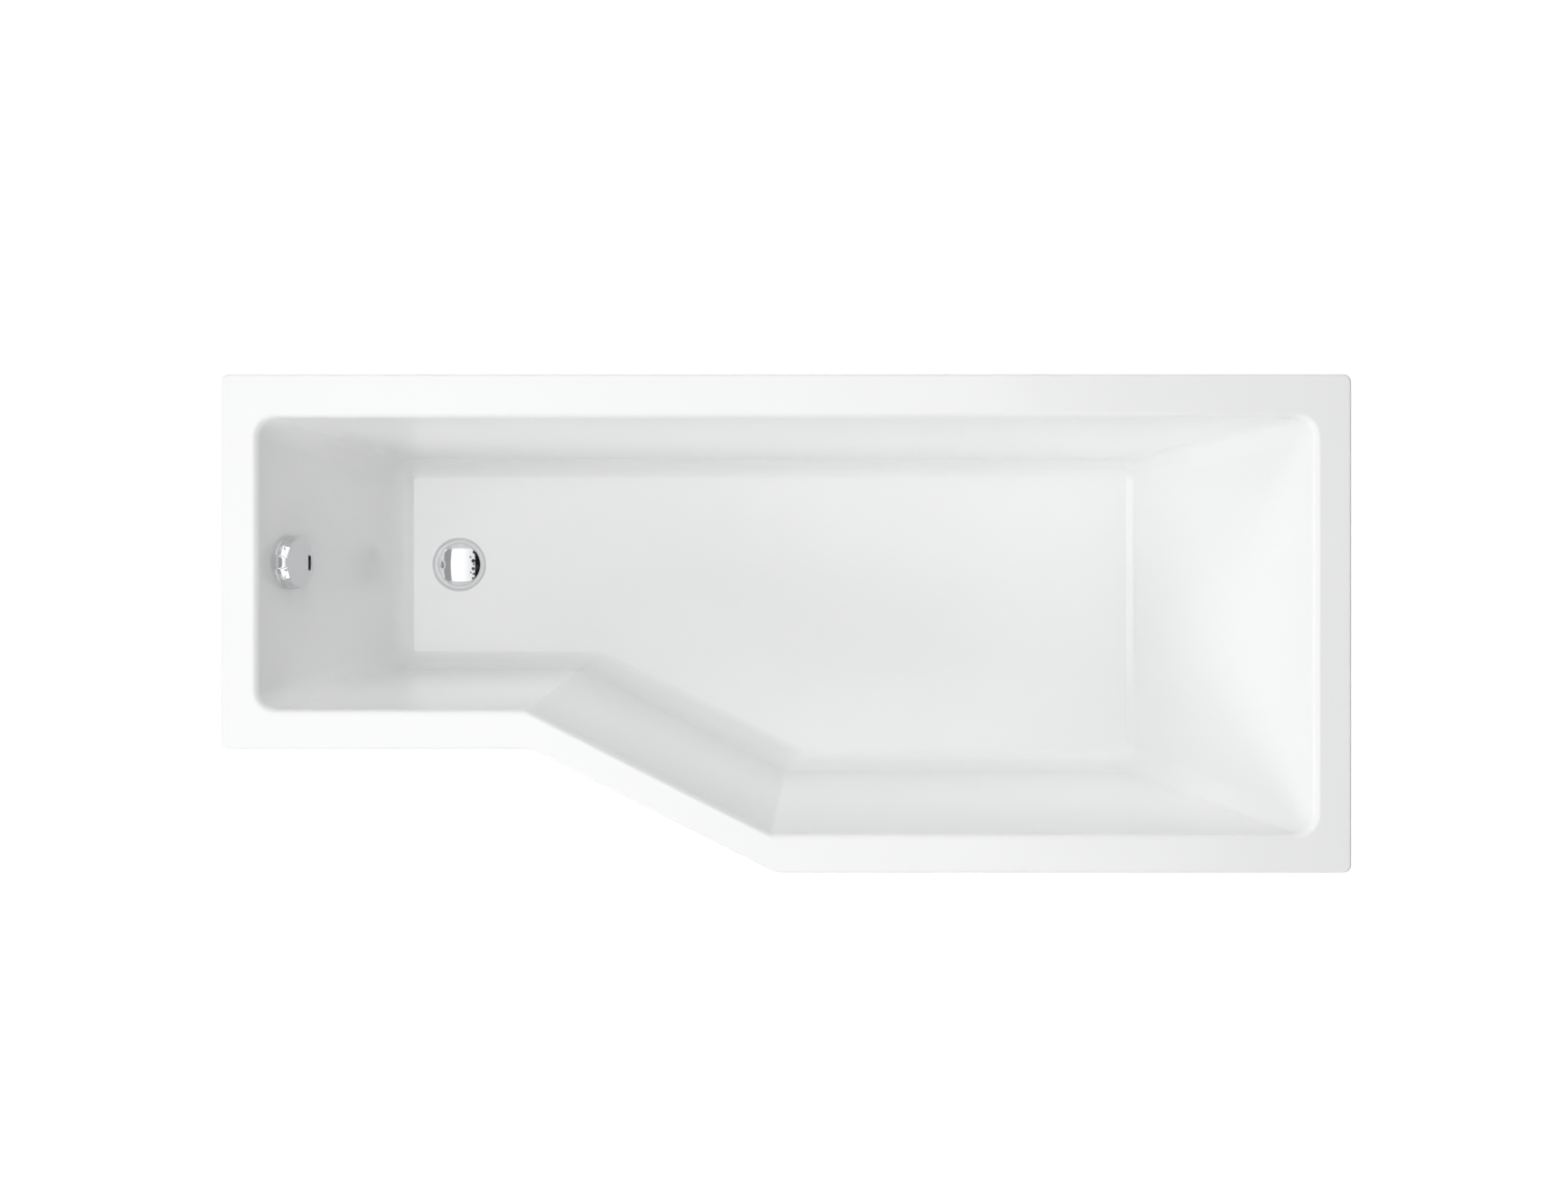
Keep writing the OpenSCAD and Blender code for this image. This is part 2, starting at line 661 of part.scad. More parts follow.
body_gasket_t = 3;
body_r = neck_r + 6.5;
body_bore = neck_r + fit;
body_top = dish_under - body_gasket_t;
body_flange_r = waste_hole_r + 15;
body_h = 48;                // height of the body inside its floor and flange
body_floor = body_top - body_h;
spigot_l = 14;
spigot_z = body_floor - spigot_l;   // bottom of the body's spigot
port_down = 24;             // from the body's top to the side port's axis
port_z = body_top - port_down;
port_r = hose_r - 2;
port_bore = port_r - 3;
port_out = 28;              // length of the port outside the body
port_l = body_r + port_out;         // from the waste's axis to the port's end
house_in = 4;               // how far the housing's box reaches into the body
house_y = body_r - house_in;
house_w = 22;
house_l = 36;
house_x = lever_l - house_l / 2;
house_z = shaft_z - lever_l - 7;
house_h = shaft_z + 14 - house_z;
crank_in = 12;              // from the housing's inner face to the crank
crank_y = house_y + crank_in;
gland_z = shaft_z - lever_l;        // the crank is as long as the lever
gland_l = 10;
cable_r = 3.5;

module body_gasket() {
    color(rubber) at_waste() translate([0, 0, body_top]) ring_of(body_flange_r - 2, waste_hole_r, body_gasket_t);
}

module waste_body() {
    wall_t = 2;
    color(moulded) at_waste() difference() {
        union() {
            translate([0, 0, body_top - 4]) cylinder(r = body_flange_r, h = 4);
            translate([0, 0, body_floor]) cylinder(r = body_r, h = body_top - body_floor);
            translate([0, 0, spigot_z]) cylinder(r = pipe_r, h = body_floor - spigot_z + 1);
            translate([0, 0, port_z]) rotate([0, -90, 0]) cylinder(r = port_r, h = port_l);
            // the housing round the crank, open towards its cover
            difference() {
                translate([house_x, house_y, house_z]) cube([house_l, house_w, house_h]);
                translate([house_x + wall_t, body_r + 1, house_z + wall_t])
                    cube([house_l - 2 * wall_t, house_w, house_h - 2 * wall_t]);
            }
            cover_screw_places() translate([0, house_y, 0]) rotate([-90, 0, 0])
                cylinder(r = cover_boss_r, h = house_w);
            translate([house_x + 1, crank_y, gland_z]) rotate([0, -90, 0])
                cylinder(r = cable_r + 2, h = gland_l + 1);
        }
        translate([0, 0, body_floor + 4]) cylinder(r = body_bore, h = body_top - body_floor);
        translate([0, 0, spigot_z - 1]) cylinder(r = pipe_r - pipe_t, h = body_floor - spigot_z + 6);
        translate([0, 0, port_z]) rotate([0, -90, 0]) cylinder(r = port_bore, h = port_l + 1);
        // the shaft's hole through the wall, and its blind seat opposite
        translate([lever_l, -shaft_seat, shaft_z]) rotate([-90, 0, 0])
            cylinder(r = shaft_r + fit, h = shaft_seat + body_r + 3);
        // the cable's way into the housing
        translate([house_x + wall_t + 1, crank_y, gland_z]) rotate([0, -90, 0])
            cylinder(r = wire_hole_r, h = gland_l + wall_t + 2);
        cover_screw_places() translate([0, house_y + house_w - cover_screw_l, 0]) rotate([-90, 0, 0])
            cylinder(r = cover_screw_r + fit, h = cover_screw_l + 1);
    }
}

shaft_r = 3;
shaft_seat = body_r - 8;            // how far the shaft reaches past the waste's axis

module lift_lever() {
    color(black) at_waste() translate([lever_l, 0, shaft_z]) {
        translate([0, 1 - shaft_seat, 0]) rotate([-90, 0, 0])
            cylinder(r = shaft_r, h = shaft_seat + crank_y + 2);
        rotate([0, -lever_half, 0]) {
            translate([-lever_l, -4, -1.5]) cube([lever_l, 8, 3]);
            translate([-lever_l, -4, 0]) rotate([-90, 0, 0]) cylinder(r = roller_r, h = 8);
            translate([0, -5, 0]) rotate([-90, 0, 0]) cylinder(r = shaft_r + 1.5, h = 10);
            translate([0, crank_y - 2, 0]) rotate([-90, 0, 0]) cylinder(r = shaft_r + 2.5, h = 4);
            translate([-2.5, crank_y - 2, -lever_l]) cube([5, 4, lever_l]);
            translate([0, crank_y - 2, -lever_l]) rotate([-90, 0, 0]) cylinder(r = 2.5, h = 4);
        }
    }
}

cover_t = 2;
cover_boss_r = 3.2;
cover_screw_r = 1.2;
cover_screw_l = 10;

module cover_screw_places() {
    for (side = [-1, 1]) translate([lever_l + side * (house_l / 2 - cover_boss_r), 0,
        house_z + house_h / 2 + side * (house_h / 2 - cover_boss_r)]) children();
}

module lever_cover() {
    color(moulded) at_waste() difference() {
        translate([house_x, house_y + house_w, house_z]) cube([house_l, cover_t, house_h]);
        cover_screw_places() translate([0, house_y + house_w - 1, 0]) rotate([-90, 0, 0])
            cylinder(r = cover_screw_r + 2 * fit, h = cover_t + 2);
    }
}

module cover_screws() {
    color(steel) at_waste() cover_screw_places() translate([0, house_y + house_w + cover_t, 0]) {
        rotate([90, 0, 0]) cylinder(r = cover_screw_r, h = cover_screw_l + cover_t - 0.5);
        rotate([-90, 0, 0]) cylinder(r1 = 2.6, r2 = 1.8, h = 1.6);
    }
}

// ---- trap and outlet ----

nut_wall = 5;
slip_nut_h = 20;
fall_l = 24;                // length of the trap's falling leg below the spigot
bend_z = spigot_z - fall_l;         // where the trap's falling leg starts to bend
rise_z = bend_z + trap_rise;        // top of the trap's rising leg
elbow_z = rise_z + slip_nut_h / 2 + 1;      // where the outlet starts to bend, above its nut
turn_z = elbow_z + elbow_r;         // axis of the outlet pipe

module slip_nut(h, r_in) {
    difference() {
        union() {
            cylinder(r = r_in + nut_wall, h = h);
            for (a = [0:30:330]) rotate(a) translate([r_in + nut_wall - 0.8, -1.5, 1]) cube([2, 3, h - 2]);
        }
        translate([0, 0, -1]) cylinder(r = r_in, h = h + 2);
    }
}

module straight_pipe(l) {
    ring_of(pipe_r, pipe_r - pipe_t, l);
}

module pipe_bend(centre_r, angle) {
    rotate_extrude(angle = angle) translate([centre_r, 0]) difference() {
        circle(r = pipe_r);
        circle(r = pipe_r - pipe_t);
    }
}

module trap_bend() {
    color(moulded) at_waste() {
        translate([0, 0, bend_z]) straight_pipe(spigot_z - seat - bend_z);
        translate([0, -bend_r, bend_z]) rotate([90, 0, 90]) rotate(180) pipe_bend(bend_r, 180);
        translate([0, trap_y, bend_z]) straight_pipe(rise_z - seat - bend_z);
    }
}

module outlet_elbow() {
    color(moulded) at_waste() {
        translate([0, trap_y, rise_z]) straight_pipe(elbow_z - rise_z);
        translate([-elbow_r, trap_y, elbow_z]) rotate([90, 0, 0]) pipe_bend(elbow_r, 90);
        translate([-elbow_r, trap_y, turn_z]) rotate([0, -90, 0]) straight_pipe(outlet_l);
    }
}

module trap_nut_top() {
    color(moulded) at_waste() translate([0, 0, spigot_z - slip_nut_h / 2]) slip_nut(slip_nut_h, pipe_r + fit);
}

module trap_nut_side() {
    color(moulded) at_waste() translate([0, trap_y, rise_z - slip_nut_h / 2]) slip_nut(slip_nut_h, pipe_r + fit);
}

module trap_washers() {
    color(rubber) at_waste() {
        translate([0, 0, spigot_z - slip_nut_h / 2 - 2]) ring_of(pipe_r + 3, pipe_r + fit, 2);
        translate([0, trap_y, rise_z - slip_nut_h / 2 - 2]) ring_of(pipe_r + 3, pipe_r + fit, 2);
    }
}

// ---- overflow ----

plate_t = 3.4;
spindle_r = 5;
drum_r = plug_lift / (PI / 2);      // a quarter turn of the knob pulls the plug's travel
knob_t = 2.5;
knob_round = 3;
nib_out = 4;
notch_in = 4.5;
wire_hole_r = 1.6;
gasket_back = -(shell_t + bond + backing_t) * cos(wall_tilt) - fit;
overflow_gasket_t = 4;
cup_top = gasket_back - overflow_gasket_t;
cup_r = overflow_hole_r;
cup_bore = cup_r - 3;
cup_h = 36;
cup_floor = cup_top - cup_h;
spout_back = 19;            // far enough back for the hose's nut to clear the wall
spout_z = cup_top - spout_back;
spout_out = 29;             // length of the spout outside the cup
spout_l = cup_r + spout_out;
drum_back = 20;             // from the cup's top to the drum's middle
drum_z = cup_top - drum_back;
post_r = cup_bore - 5;              // from the middle to the posts for the plate's screws

module overflow_knob() {
    top = knob_gap + knob_d;
    color(chrome) at_overflow() difference() {
        union() {
            rotate_extrude() polygon(concat(
                [[0, top - knob_t], [knob_r - knob_t, top - knob_t], [knob_r - knob_t, knob_gap],
                 [knob_r, knob_gap]],
                [for (i = [0:5]) let (a = 18 * i)
                    [knob_r - knob_round * (1 - cos(a)), top - knob_round * (1 - sin(a))]],
                [[0, top]]));
            translate([-knob_r - nib_out, -nib_w / 2, knob_gap])
                cube([nib_out + knob_t + 1, nib_w, knob_d - knob_round]);
        }
        translate([knob_r - notch_in, -notch_w / 2, knob_gap - 1]) cube([2 * notch_in, notch_w, knob_d + 2]);
    }
}

module knob_spindle() {
    color(moulded) at_overflow() {
        translate([0, 0, cup_floor + 4]) cylinder(r = spindle_r, h = knob_gap + knob_d - knob_t - cup_floor - 4);
        translate([0, 0, drum_z - 4]) cylinder(r = drum_r, h = 8);
        for (z = [drum_z - 5, drum_z + 4]) translate([0, 0, z]) cylinder(r = drum_r + 2, h = 1);
    }
}

module overflow_plate() {
    color(moulded) at_overflow() translate([0, 0, fit]) difference() {
        cylinder(r = overflow_hole_r + 4, h = plate_t);
        translate([0, 0, -1]) cylinder(r = spindle_r + fit, h = plate_t + 2);
        for (a = [45:90:315]) rotate(a) translate([post_r - 8, 0, -1]) cylinder(r = 7, h = plate_t + 2);
        for (a = [90, 270]) rotate(a) translate([post_r, 0, -1]) cylinder(r = 2 + fit, h = plate_t + 2);
    }
}

module plate_screws() {
    color(steel) at_overflow() for (a = [90, 270]) rotate(a) translate([post_r, 0, 0]) {
        translate([0, 0, cup_top - 9]) cylinder(r = 2, h = plate_t + fit - cup_top + 9);
        translate([0, 0, plate_t + fit]) cylinder(r1 = 3.6, r2 = 2.8, h = 1.2);
    }
}

module overflow_gasket() {
    color(rubber) at_overflow() translate([0, 0, cup_top])
        ring_of(overflow_hole_r + 6, overflow_hole_r - 2, overflow_gasket_t);
}

module overflow_body() {
    color(moulded) at_overflow() {
        difference() {
            union() {
                translate([0, 0, cup_top - 3]) cylinder(r = overflow_hole_r + 6, h = 3);
                translate([0, 0, cup_floor]) cylinder(r = cup_r, h = cup_top - cup_floor);
                translate([0, 0, spout_z]) rotate([0, 90, 0]) cylinder(r = port_r, h = spout_l);
                translate([-drum_r, 0, drum_z]) rotate([-90, 0, 0]) cylinder(r = cable_r + 2, h = cup_r + gland_l);
            }
            translate([0, 0, cup_floor + 3]) cylinder(r = cup_bore, h = cup_top - cup_floor);
            translate([0, 0, spout_z]) rotate([0, 90, 0]) cylinder(r = port_bore, h = spout_l + 1);
            translate([-drum_r, 0, drum_z]) rotate([-90, 0, 0]) cylinder(r = wire_hole_r, h = cup_r + gland_l + 1);
        }
        for (a = [90, 270]) rotate(a) translate([post_r + 0.5, 0, cup_floor + 2]) difference() {
            cylinder(r = 5, h = cup_top - cup_floor - 2);
            translate([-0.5, 0, cup_top - cup_floor - 12]) cylinder(r = 2 + fit, h = 12);
        }
    }
}

// ---- hose and cable ----

hose_end = [waste_x - port_l, waste_y, port_z];
hose_start = overflow_point([spout_l, 0, spout_z]);
function overflow_point(p) = [overflow_x + p[0] * sin(wall_tilt) + p[2] * cos(wall_tilt), waste_y + p[1],
    bath_h - overflow_down - p[0] * cos(wall_tilt) + p[2] * sin(wall_tilt)];

hose_bend_r = 50;
down = [sin(wall_tilt), 0, -cos(wall_tilt)];
// The hose runs straight down the wall, bends once, and comes in level at the waste.
knee = hose_start + down * ((hose_start[2] - hose_end[2]) / cos(wall_tilt));
knee_l = hose_bend_r * tan((90 - wall_tilt) / 2);
straight_l = norm(knee - hose_start) - knee_l;
arc_l = hose_bend_r * (90 - wall_tilt) * PI / 180;
tail_l = hose_end[0] - knee[0] - knee_l;
hose_l = straight_l + arc_l + tail_l;

function hose_at(s) = let (
    turn = (s - straight_l) / hose_bend_r * 180 / PI,
    bend_from = hose_start + down * straight_l,
    centre = bend_from + [cos(wall_tilt), 0, sin(wall_tilt)] * hose_bend_r
) s <= straight_l ? hose_start + down * s
    : s < straight_l + arc_l ? centre - [cos(wall_tilt + turn), 0, sin(wall_tilt + turn)] * hose_bend_r
    : [knee[0] + knee_l + s - straight_l - arc_l, knee[1], knee[2]];

hose_cuff = 12;             // plain length at each end of the hose
ribs = floor((hose_l - 2 * hose_cuff) / rib_pitch);

module overflow_hose() {
    pitch = (hose_l - 2 * hose_cuff) / ribs;
    stations = concat([0, hose_cuff], [for (i = [0:ribs - 1]) each [
        hose_cuff + pitch * (i + 0.5), hose_cuff + pitch * (i + 1)]], [hose_l]);
    radii = concat([port_r, port_r], [for (i = [0:ribs - 1]) each [hose_r, port_r]], [port_r]);
    color(moulded) swept([for (s = stations) hose_at(s)], radii, port_bore, 8);
}

module hose_nut_top() {
    color(moulded) at_overflow() translate([spout_l - 10, 0, spout_z]) rotate([0, 90, 0])
        slip_nut(hose_cuff + 8, port_r + fit);
}

module hose_nut_bottom() {
    color(moulded) translate(hose_end - [hose_cuff - 2, 0, 0]) rotate([0, 90, 0])
        slip_nut(hose_cuff + 8, port_r + fit);
}

// The cable leaves the overflow's gland along the wall, and sweeps down and round
// into the gland of the lever's housing. Each end's handle sets how far the cable
// keeps to its gland's direction, as a share of the distance between the two.
cable_from = overflow_point([-drum_r, cup_r + gland_l, drum_z]);
cable_to = [waste_x + house_x - gland_l, waste_y + crank_y, gland_z];
cable_span = norm(cable_to - cable_from);
cable_lead = cable_from + [0, 0.2 * cable_span, 0];
cable_tail = cable_to - [0.32 * cable_span, 0, 0];
cable_steps = 18;
function cable_at(t) = pow(1 - t, 3) * cable_from + 3 * pow(1 - t, 2) * t * cable_lead
    + 3 * (1 - t) * t * t * cable_tail + pow(t, 3) * cable_to;

module control_cable() {
    points = [for (i = [0:cable_steps]) cable_at(i / cable_steps)];
    color(black) swept(points, [for (p = points) cable_r], 0, 8);
}

// ---- drawing ----

bath_shell();
fibreglass_backing();
base_board();
batten_back();
batten_head_end();
batten_wide_front();
batten_angled();
batten_narrow_front();
batten_waste_end();
wall_bracket_left();
wall_bracket_right();
wall_bracket_screws();
rail_waste_end();
rail_head_end();
centre_bracket();
rail_screws();
pad(0);  // pad_1
stud(0);  // stud_1
nuts(0);  // nuts_1
pad(1);  // pad_2
stud(1);  // stud_2
nuts(1);  // nuts_2
pad(2);  // pad_3
stud(2);  // stud_3
nuts(2);  // nuts_3
pad(3);  // pad_4
stud(3);  // stud_4
nuts(3);  // nuts_4
pad(4);  // pad_5
stud(4);  // stud_5
nuts(4);  // nuts_5
plug_cap();
plug_seal();
plug_stem();
waste_flange();
flange_gasket();
body_gasket();
waste_body();
lift_lever();
lever_cover();
cover_screws();
trap_nut_top();
trap_bend();
trap_nut_side();
outlet_elbow();
trap_washers();
overflow_knob();
knob_spindle();
overflow_plate();
plate_screws();
overflow_gasket();
overflow_body();
hose_nut_top();
overflow_hose();
hose_nut_bottom();
control_cable();
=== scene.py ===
# %% [markdown]
# # A shower bath with an angled step
#
# The object is an acrylic bath, 1.7 m long, photographed from straight above on white. Its narrow
# end, on the left, holds the waste and the overflow knob; its wide end, on the right, has the
# sloping backrest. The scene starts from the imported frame: every piece of the real construction is
# already there in metres, so this script only has to give each one its finished surface.

# %% Load the frame and note its box
import contextlib
import functools
import itertools
import json
import math

import bpy
import bmesh
import numpy as np
from mathutils import Matrix, Vector
from mathutils.geometry import delaunay_2d_cdt


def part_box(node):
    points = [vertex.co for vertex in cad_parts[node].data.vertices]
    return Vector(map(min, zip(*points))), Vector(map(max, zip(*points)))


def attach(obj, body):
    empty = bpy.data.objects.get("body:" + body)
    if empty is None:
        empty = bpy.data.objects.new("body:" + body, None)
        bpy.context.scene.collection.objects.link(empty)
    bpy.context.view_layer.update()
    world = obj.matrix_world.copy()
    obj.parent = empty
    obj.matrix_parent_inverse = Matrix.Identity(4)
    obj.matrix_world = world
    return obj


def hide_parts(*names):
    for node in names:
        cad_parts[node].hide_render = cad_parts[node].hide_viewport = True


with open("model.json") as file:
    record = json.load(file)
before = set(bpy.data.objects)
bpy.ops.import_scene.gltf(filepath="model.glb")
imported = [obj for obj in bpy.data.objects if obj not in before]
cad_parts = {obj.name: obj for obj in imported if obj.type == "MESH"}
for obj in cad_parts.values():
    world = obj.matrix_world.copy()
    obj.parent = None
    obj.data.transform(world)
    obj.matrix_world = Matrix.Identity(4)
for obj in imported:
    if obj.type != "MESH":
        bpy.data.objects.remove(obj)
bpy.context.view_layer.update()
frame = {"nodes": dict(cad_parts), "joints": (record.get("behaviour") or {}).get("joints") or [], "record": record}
nodes = frame["nodes"]
scene = bpy.context.scene
MM = 0.001
print("nodes in the frame:", len(nodes))

# %% [markdown]
# ## Where things are
#
# A few places are read from the frame, so that nothing here has to be fitted by eye: the rim's
# corners, the middle of the waste, and the overflow, which sits square on the leaning end wall.

# %% Read the bath's driving places from the frame
rim_low, rim_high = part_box("bath_shell")
rim_z = rim_high.z
plug_low, plug_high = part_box("plug_cap")
waste = Vector(((plug_low.x + plug_high.x) / 2, (plug_low.y + plug_high.y) / 2, 0))
knob_turn = next(joint for joint in frame["joints"] if joint["name"] == "knob_turn")
overflow = Vector(knob_turn["pos_m"])
wall_normal = Vector(knob_turn["axis"]).normalized()
wall_tilt = math.asin(wall_normal.z)
print("waste at", tuple(round(v, 4) for v in waste), "wall leans", round(math.degrees(wall_tilt), 2))

# %% [markdown]
# ## The camera
#
# The photograph looks straight down, so the camera hangs over the bath with no tilt. The rim and
# the floor of the basin show the same lengths at slightly different scales, and that difference
# gives the camera's height: about 4.3 m above the rim, through a lens of about 66 mm.

# %% Hang the camera where the photograph was taken
def add_object(name, data):
    made = bpy.data.objects.new(name, data)
    scene.collection.objects.link(made)
    return made


PHOTO_WIDTH = 1784
FOCAL_PX = 3277
SENSOR_MM = 36
CAMERA_ABOVE_RIM = 4.327
CAMERA_PLACE = (-0.0030, 0.0518)

camera_data = bpy.data.cameras.new("camera")
camera_data.sensor_width = SENSOR_MM
camera_data.lens = FOCAL_PX / PHOTO_WIDTH * SENSOR_MM
camera_data.clip_end = 50
camera = scene.camera = add_object("camera", camera_data)
camera.location = (*CAMERA_PLACE, rim_z + CAMERA_ABOVE_RIM)
print("lens", round(camera_data.lens, 2), "mm, height", round(camera.location.z, 3), "m")

# %% [markdown]
# ## Helpers for node trees
#
# The surround, the finishes and the Geometry Nodes below are all built as node trees. Two helpers
# fill the inputs of a node and add a new one, so that each node takes one line.

# %% Helpers for every kind of node tree
def feed(tree, node, inputs):
    """Fills inputs by label or number: a socket or a node's first output is linked, and any other
    value is set."""
    for label, value in inputs.items():
        if isinstance(value, bpy.types.Node):
            value = value.outputs[0]
        if isinstance(value, bpy.types.NodeSocket):
            tree.links.new(value, node.inputs[label])
        else:
            node.inputs[label].default_value = value
    return node


def add_node(tree, kind, inputs=(), **settings):
    node = tree.nodes.new(kind)
    for name, value in settings.items():
        setattr(node, name, value)
    return feed(tree, node, dict(inputs))


def add_math(tree, operation, *values):
    return add_node(tree, "ShaderNodeMath", enumerate(values), operation=operation)


def grey(value, cool=0.0):
    return (value - cool, value, value + cool, 1)


def start_finish(name, color, roughness, metallic=0.0, ior=1.5):
    material = bpy.data.materials.new(name)
    material.use_nodes = True
    tree = material.node_tree
    shader = feed(tree, tree.nodes["Principled BSDF"], {
        "Base Color": (*color, 1), "Roughness": roughness, "Metallic": metallic, "IOR": ior})
    return material, tree, shader


# %% [markdown]
# ## Light
#
# The bath is lit as in a studio. Soft panels hang over it and stand at its front and back, and two
# small ones stand at the corners of the waste end. The acrylic is a matt white under a clear gloss,
# so the panels that shade its walls and the ones that it mirrors are set apart: some light matt
# surfaces only, and some can only be seen in mirrors. The low panel on the left is what the bevel
# under the backrest mirrors. An uneven surround adds a little light, most of it from the left.

# %% Set up the soft panels and the surround
# Each panel: its place, what it faces, its size and its power, and whether it lights matt
# surfaces and whether glossy ones mirror it.
BATH_MIDDLE = (0, 0, 0.4)
PANELS = {
    "box_above": ((-0.55, 0, 6.0), (-0.55, 0, 0.4), (3.9, 6.2), 44.0, True, False),
    "box_mirrored": ((-0.55, 0.5, 5.97), (-0.55, 0.5, 0.4), (3.9, 7.2), 94.0, False, True),
    "panel_over": ((-0.2, 0, 5.0), (-0.2, 0, 0.4), (2.4, 2.4), 62.3, True, False),
    "panel_front": ((0, -7.0, 5.0), BATH_MIDDLE, (5.0, 4.0), 110.0, True, True),
    "panel_back": ((0, 7.0, 5.0), BATH_MIDDLE, (5.0, 4.0), 151.7, True, True),
    "corner_front": ((-2.4, -2.4, 2.8), BATH_MIDDLE, (2.0, 2.0), 35.1, True, True),
    "corner_back": ((-2.4, 2.4, 2.8), BATH_MIDDLE, (2.0, 2.0), 17.9, True, True),
    "bevel_glow": ((-7.0, -0.06, 3.4), (0.6, 0, 0.2), (3.0, 1.8), 36.0, False, True),
}
for name, (place, aim, size, power, lights, mirrored) in PANELS.items():
    data = bpy.data.lights.new(name, "AREA")
    data.shape = "RECTANGLE"
    data.size, data.size_y = size
    data.energy = power
    panel = add_object(name, data)
    panel.location = place
    panel.rotation_euler = (Vector(aim) - Vector(place)).to_track_quat("-Z", "Y").to_euler()
    panel.visible_diffuse, panel.visible_glossy = lights, mirrored

SURROUND_COLOR = (0.985, 0.992, 1.0, 1)
SURROUND_EVEN = 0.002
# How much brighter the surround gets towards each side: the axis, its sign and the strength.
SURROUND_SIDES = [("X", -1, 0.455), ("Y", -1, 0.183), ("Z", 1, 0.064)]
# What glossy surfaces mirror instead: it fades, along X, from one strength to the other.
MIRRORED_FADE = {"From Min": 0.25, "From Max": -0.05, "To Min": 0.01, "To Max": 0.42}


def draw_surround():
    """A surround that brightens smoothly towards some sides, with its left half grey in mirrors."""
    world = bpy.data.worlds.new("surround")
    scene.world = world
    world.use_nodes = True
    tree = world.node_tree
    place = add_node(tree, "ShaderNodeTexCoord")
    axes = add_node(tree, "ShaderNodeSeparateXYZ", {0: place.outputs["Generated"]})
    total = SURROUND_EVEN
    for axis, sign, strength in SURROUND_SIDES:
        facing = add_math(tree, "MAXIMUM", add_math(tree, "MULTIPLY", axes.outputs[axis], sign), 0.0)
        total = add_math(tree, "MULTIPLY_ADD", facing, strength, total)
    fade = add_node(tree, "ShaderNodeMapRange", {"Value": axes.outputs["X"], **MIRRORED_FADE})
    path = add_node(tree, "ShaderNodeLightPath")
    change = add_math(tree, "SUBTRACT", fade, total)
    strength = add_math(tree, "MULTIPLY_ADD", change, path.outputs["Is Glossy Ray"], total)
    feed(tree, tree.nodes["Background"], {"Color": SURROUND_COLOR, "Strength": strength})


draw_surround()
scene.view_settings.view_transform = "Standard"
print("panels:", ", ".join(PANELS))

# %% [markdown]
# The plug mirrors the box above it, with a few dark spots at the box's right edge. They are lamp
# fittings that hang a little below the box, out of the camera's view.

# %% Hang the dark fittings
# Each fitting: its place in x and y and its radius, in metres.
FITTINGS = [(1.08, 0.74, 0.30), (0.65, 1.35, 0.15), (1.16, 0.21, 0.15), (1.08, -0.52, 0.26),
            (0.72, -1.13, 0.13), (1.19, -1.38, 0.20), (1.08, -2.16, 0.20), (1.35, 2.23, 0.32),
            (1.80, -0.30, 0.36)]
FITTINGS_HEIGHT = 5.9

dark = start_finish("dark_fitting", (0.02, 0.02, 0.022), 0.5)[0]
for x, y, radius in FITTINGS:
    bpy.ops.mesh.primitive_cylinder_add(vertices=32, radius=radius, depth=0.05,
                                        location=(x, y, FITTINGS_HEIGHT))
    fitting = bpy.context.object
    fitting.name = "fitting"
    fitting.data.materials.append(dark)
print("fittings:", len(FITTINGS))

# %% [markdown]
# ## The floor
#
# The bath stands on a pale floor that the picture shows as plain white. A white surface alone would
# render grey wherever the light is weaker, so part of its colour is given off, to the camera and to
# mirrors only, and the rest is lit, which keeps the soft shadow of the bath.

# %% Lay the floor
FLOOR_HALF = 12
FLOOR_LIT = 0.8
FLOOR_GIVEN_OFF = 0.75


def floor_material():
    material = bpy.data.materials.new("floor_white")
    material.use_nodes = True
    tree = material.node_tree
    tree.nodes.clear()
    path = add_node(tree, "ShaderNodeLightPath")
    seen = add_math(tree, "MAXIMUM", path.outputs["Is Camera Ray"], path.outputs["Is Glossy Ray"])
    given = add_node(tree, "ShaderNodeEmission",
                     {"Strength": add_math(tree, "MULTIPLY", seen, FLOOR_GIVEN_OFF)})
    lit = add_node(tree, "ShaderNodeBsdfDiffuse", {"Color": grey(FLOOR_LIT)})
    both = add_node(tree, "ShaderNodeAddShader", {0: lit, 1: given})
    add_node(tree, "ShaderNodeOutputMaterial", {"Surface": both})
    return material


bpy.ops.mesh.primitive_plane_add(size=2 * FLOOR_HALF)
floor = bpy.context.object
floor.name = "floor"
floor.data.materials.append(floor_material())
print("floor laid:", 2 * FLOOR_HALF, "m square")

# %% [markdown]
# ## Finishes
#
# Every finish is a small node tree round one Principled shader. Noise on Object coordinates varies
# its tone, its gloss or its surface. Object coordinates suit this object, because every piece stands
# in the same metre frame. The finishes are kept under the names of the record's material slots.

# %% Helpers for finishes
finishes = {}


def add_place(tree, stretch=(1, 1, 1)):
    place = add_node(tree, "ShaderNodeTexCoord").outputs["Object"]
    return add_node(tree, "ShaderNodeMapping", {"Vector": place, "Scale": stretch})


def add_noise(tree, scale, detail=2.0, *stretch):
    return add_node(tree, "ShaderNodeTexNoise", {
        "Vector": add_place(tree, *stretch), "Scale": scale, "Detail": detail})


def add_ramp(tree, source, stops):
    node = add_node(tree, "ShaderNodeValToRGB", {"Fac": source})
    ends = node.color_ramp.elements
    ends[0].position, ends[0].color = stops[0]
    ends[1].position, ends[1].color = stops[-1]
    for position, color in stops[1:-1]:
        ends.new(position).color = color
    return node


def add_range(tree, source, low, high):
    return add_node(tree, "ShaderNodeMapRange", {"Value": source, "To Min": low, "To Max": high})


def add_bump(tree, source, strength, height):
    return add_node(tree, "ShaderNodeBump", {
        "Height": source, "Strength": strength, "Distance": height})


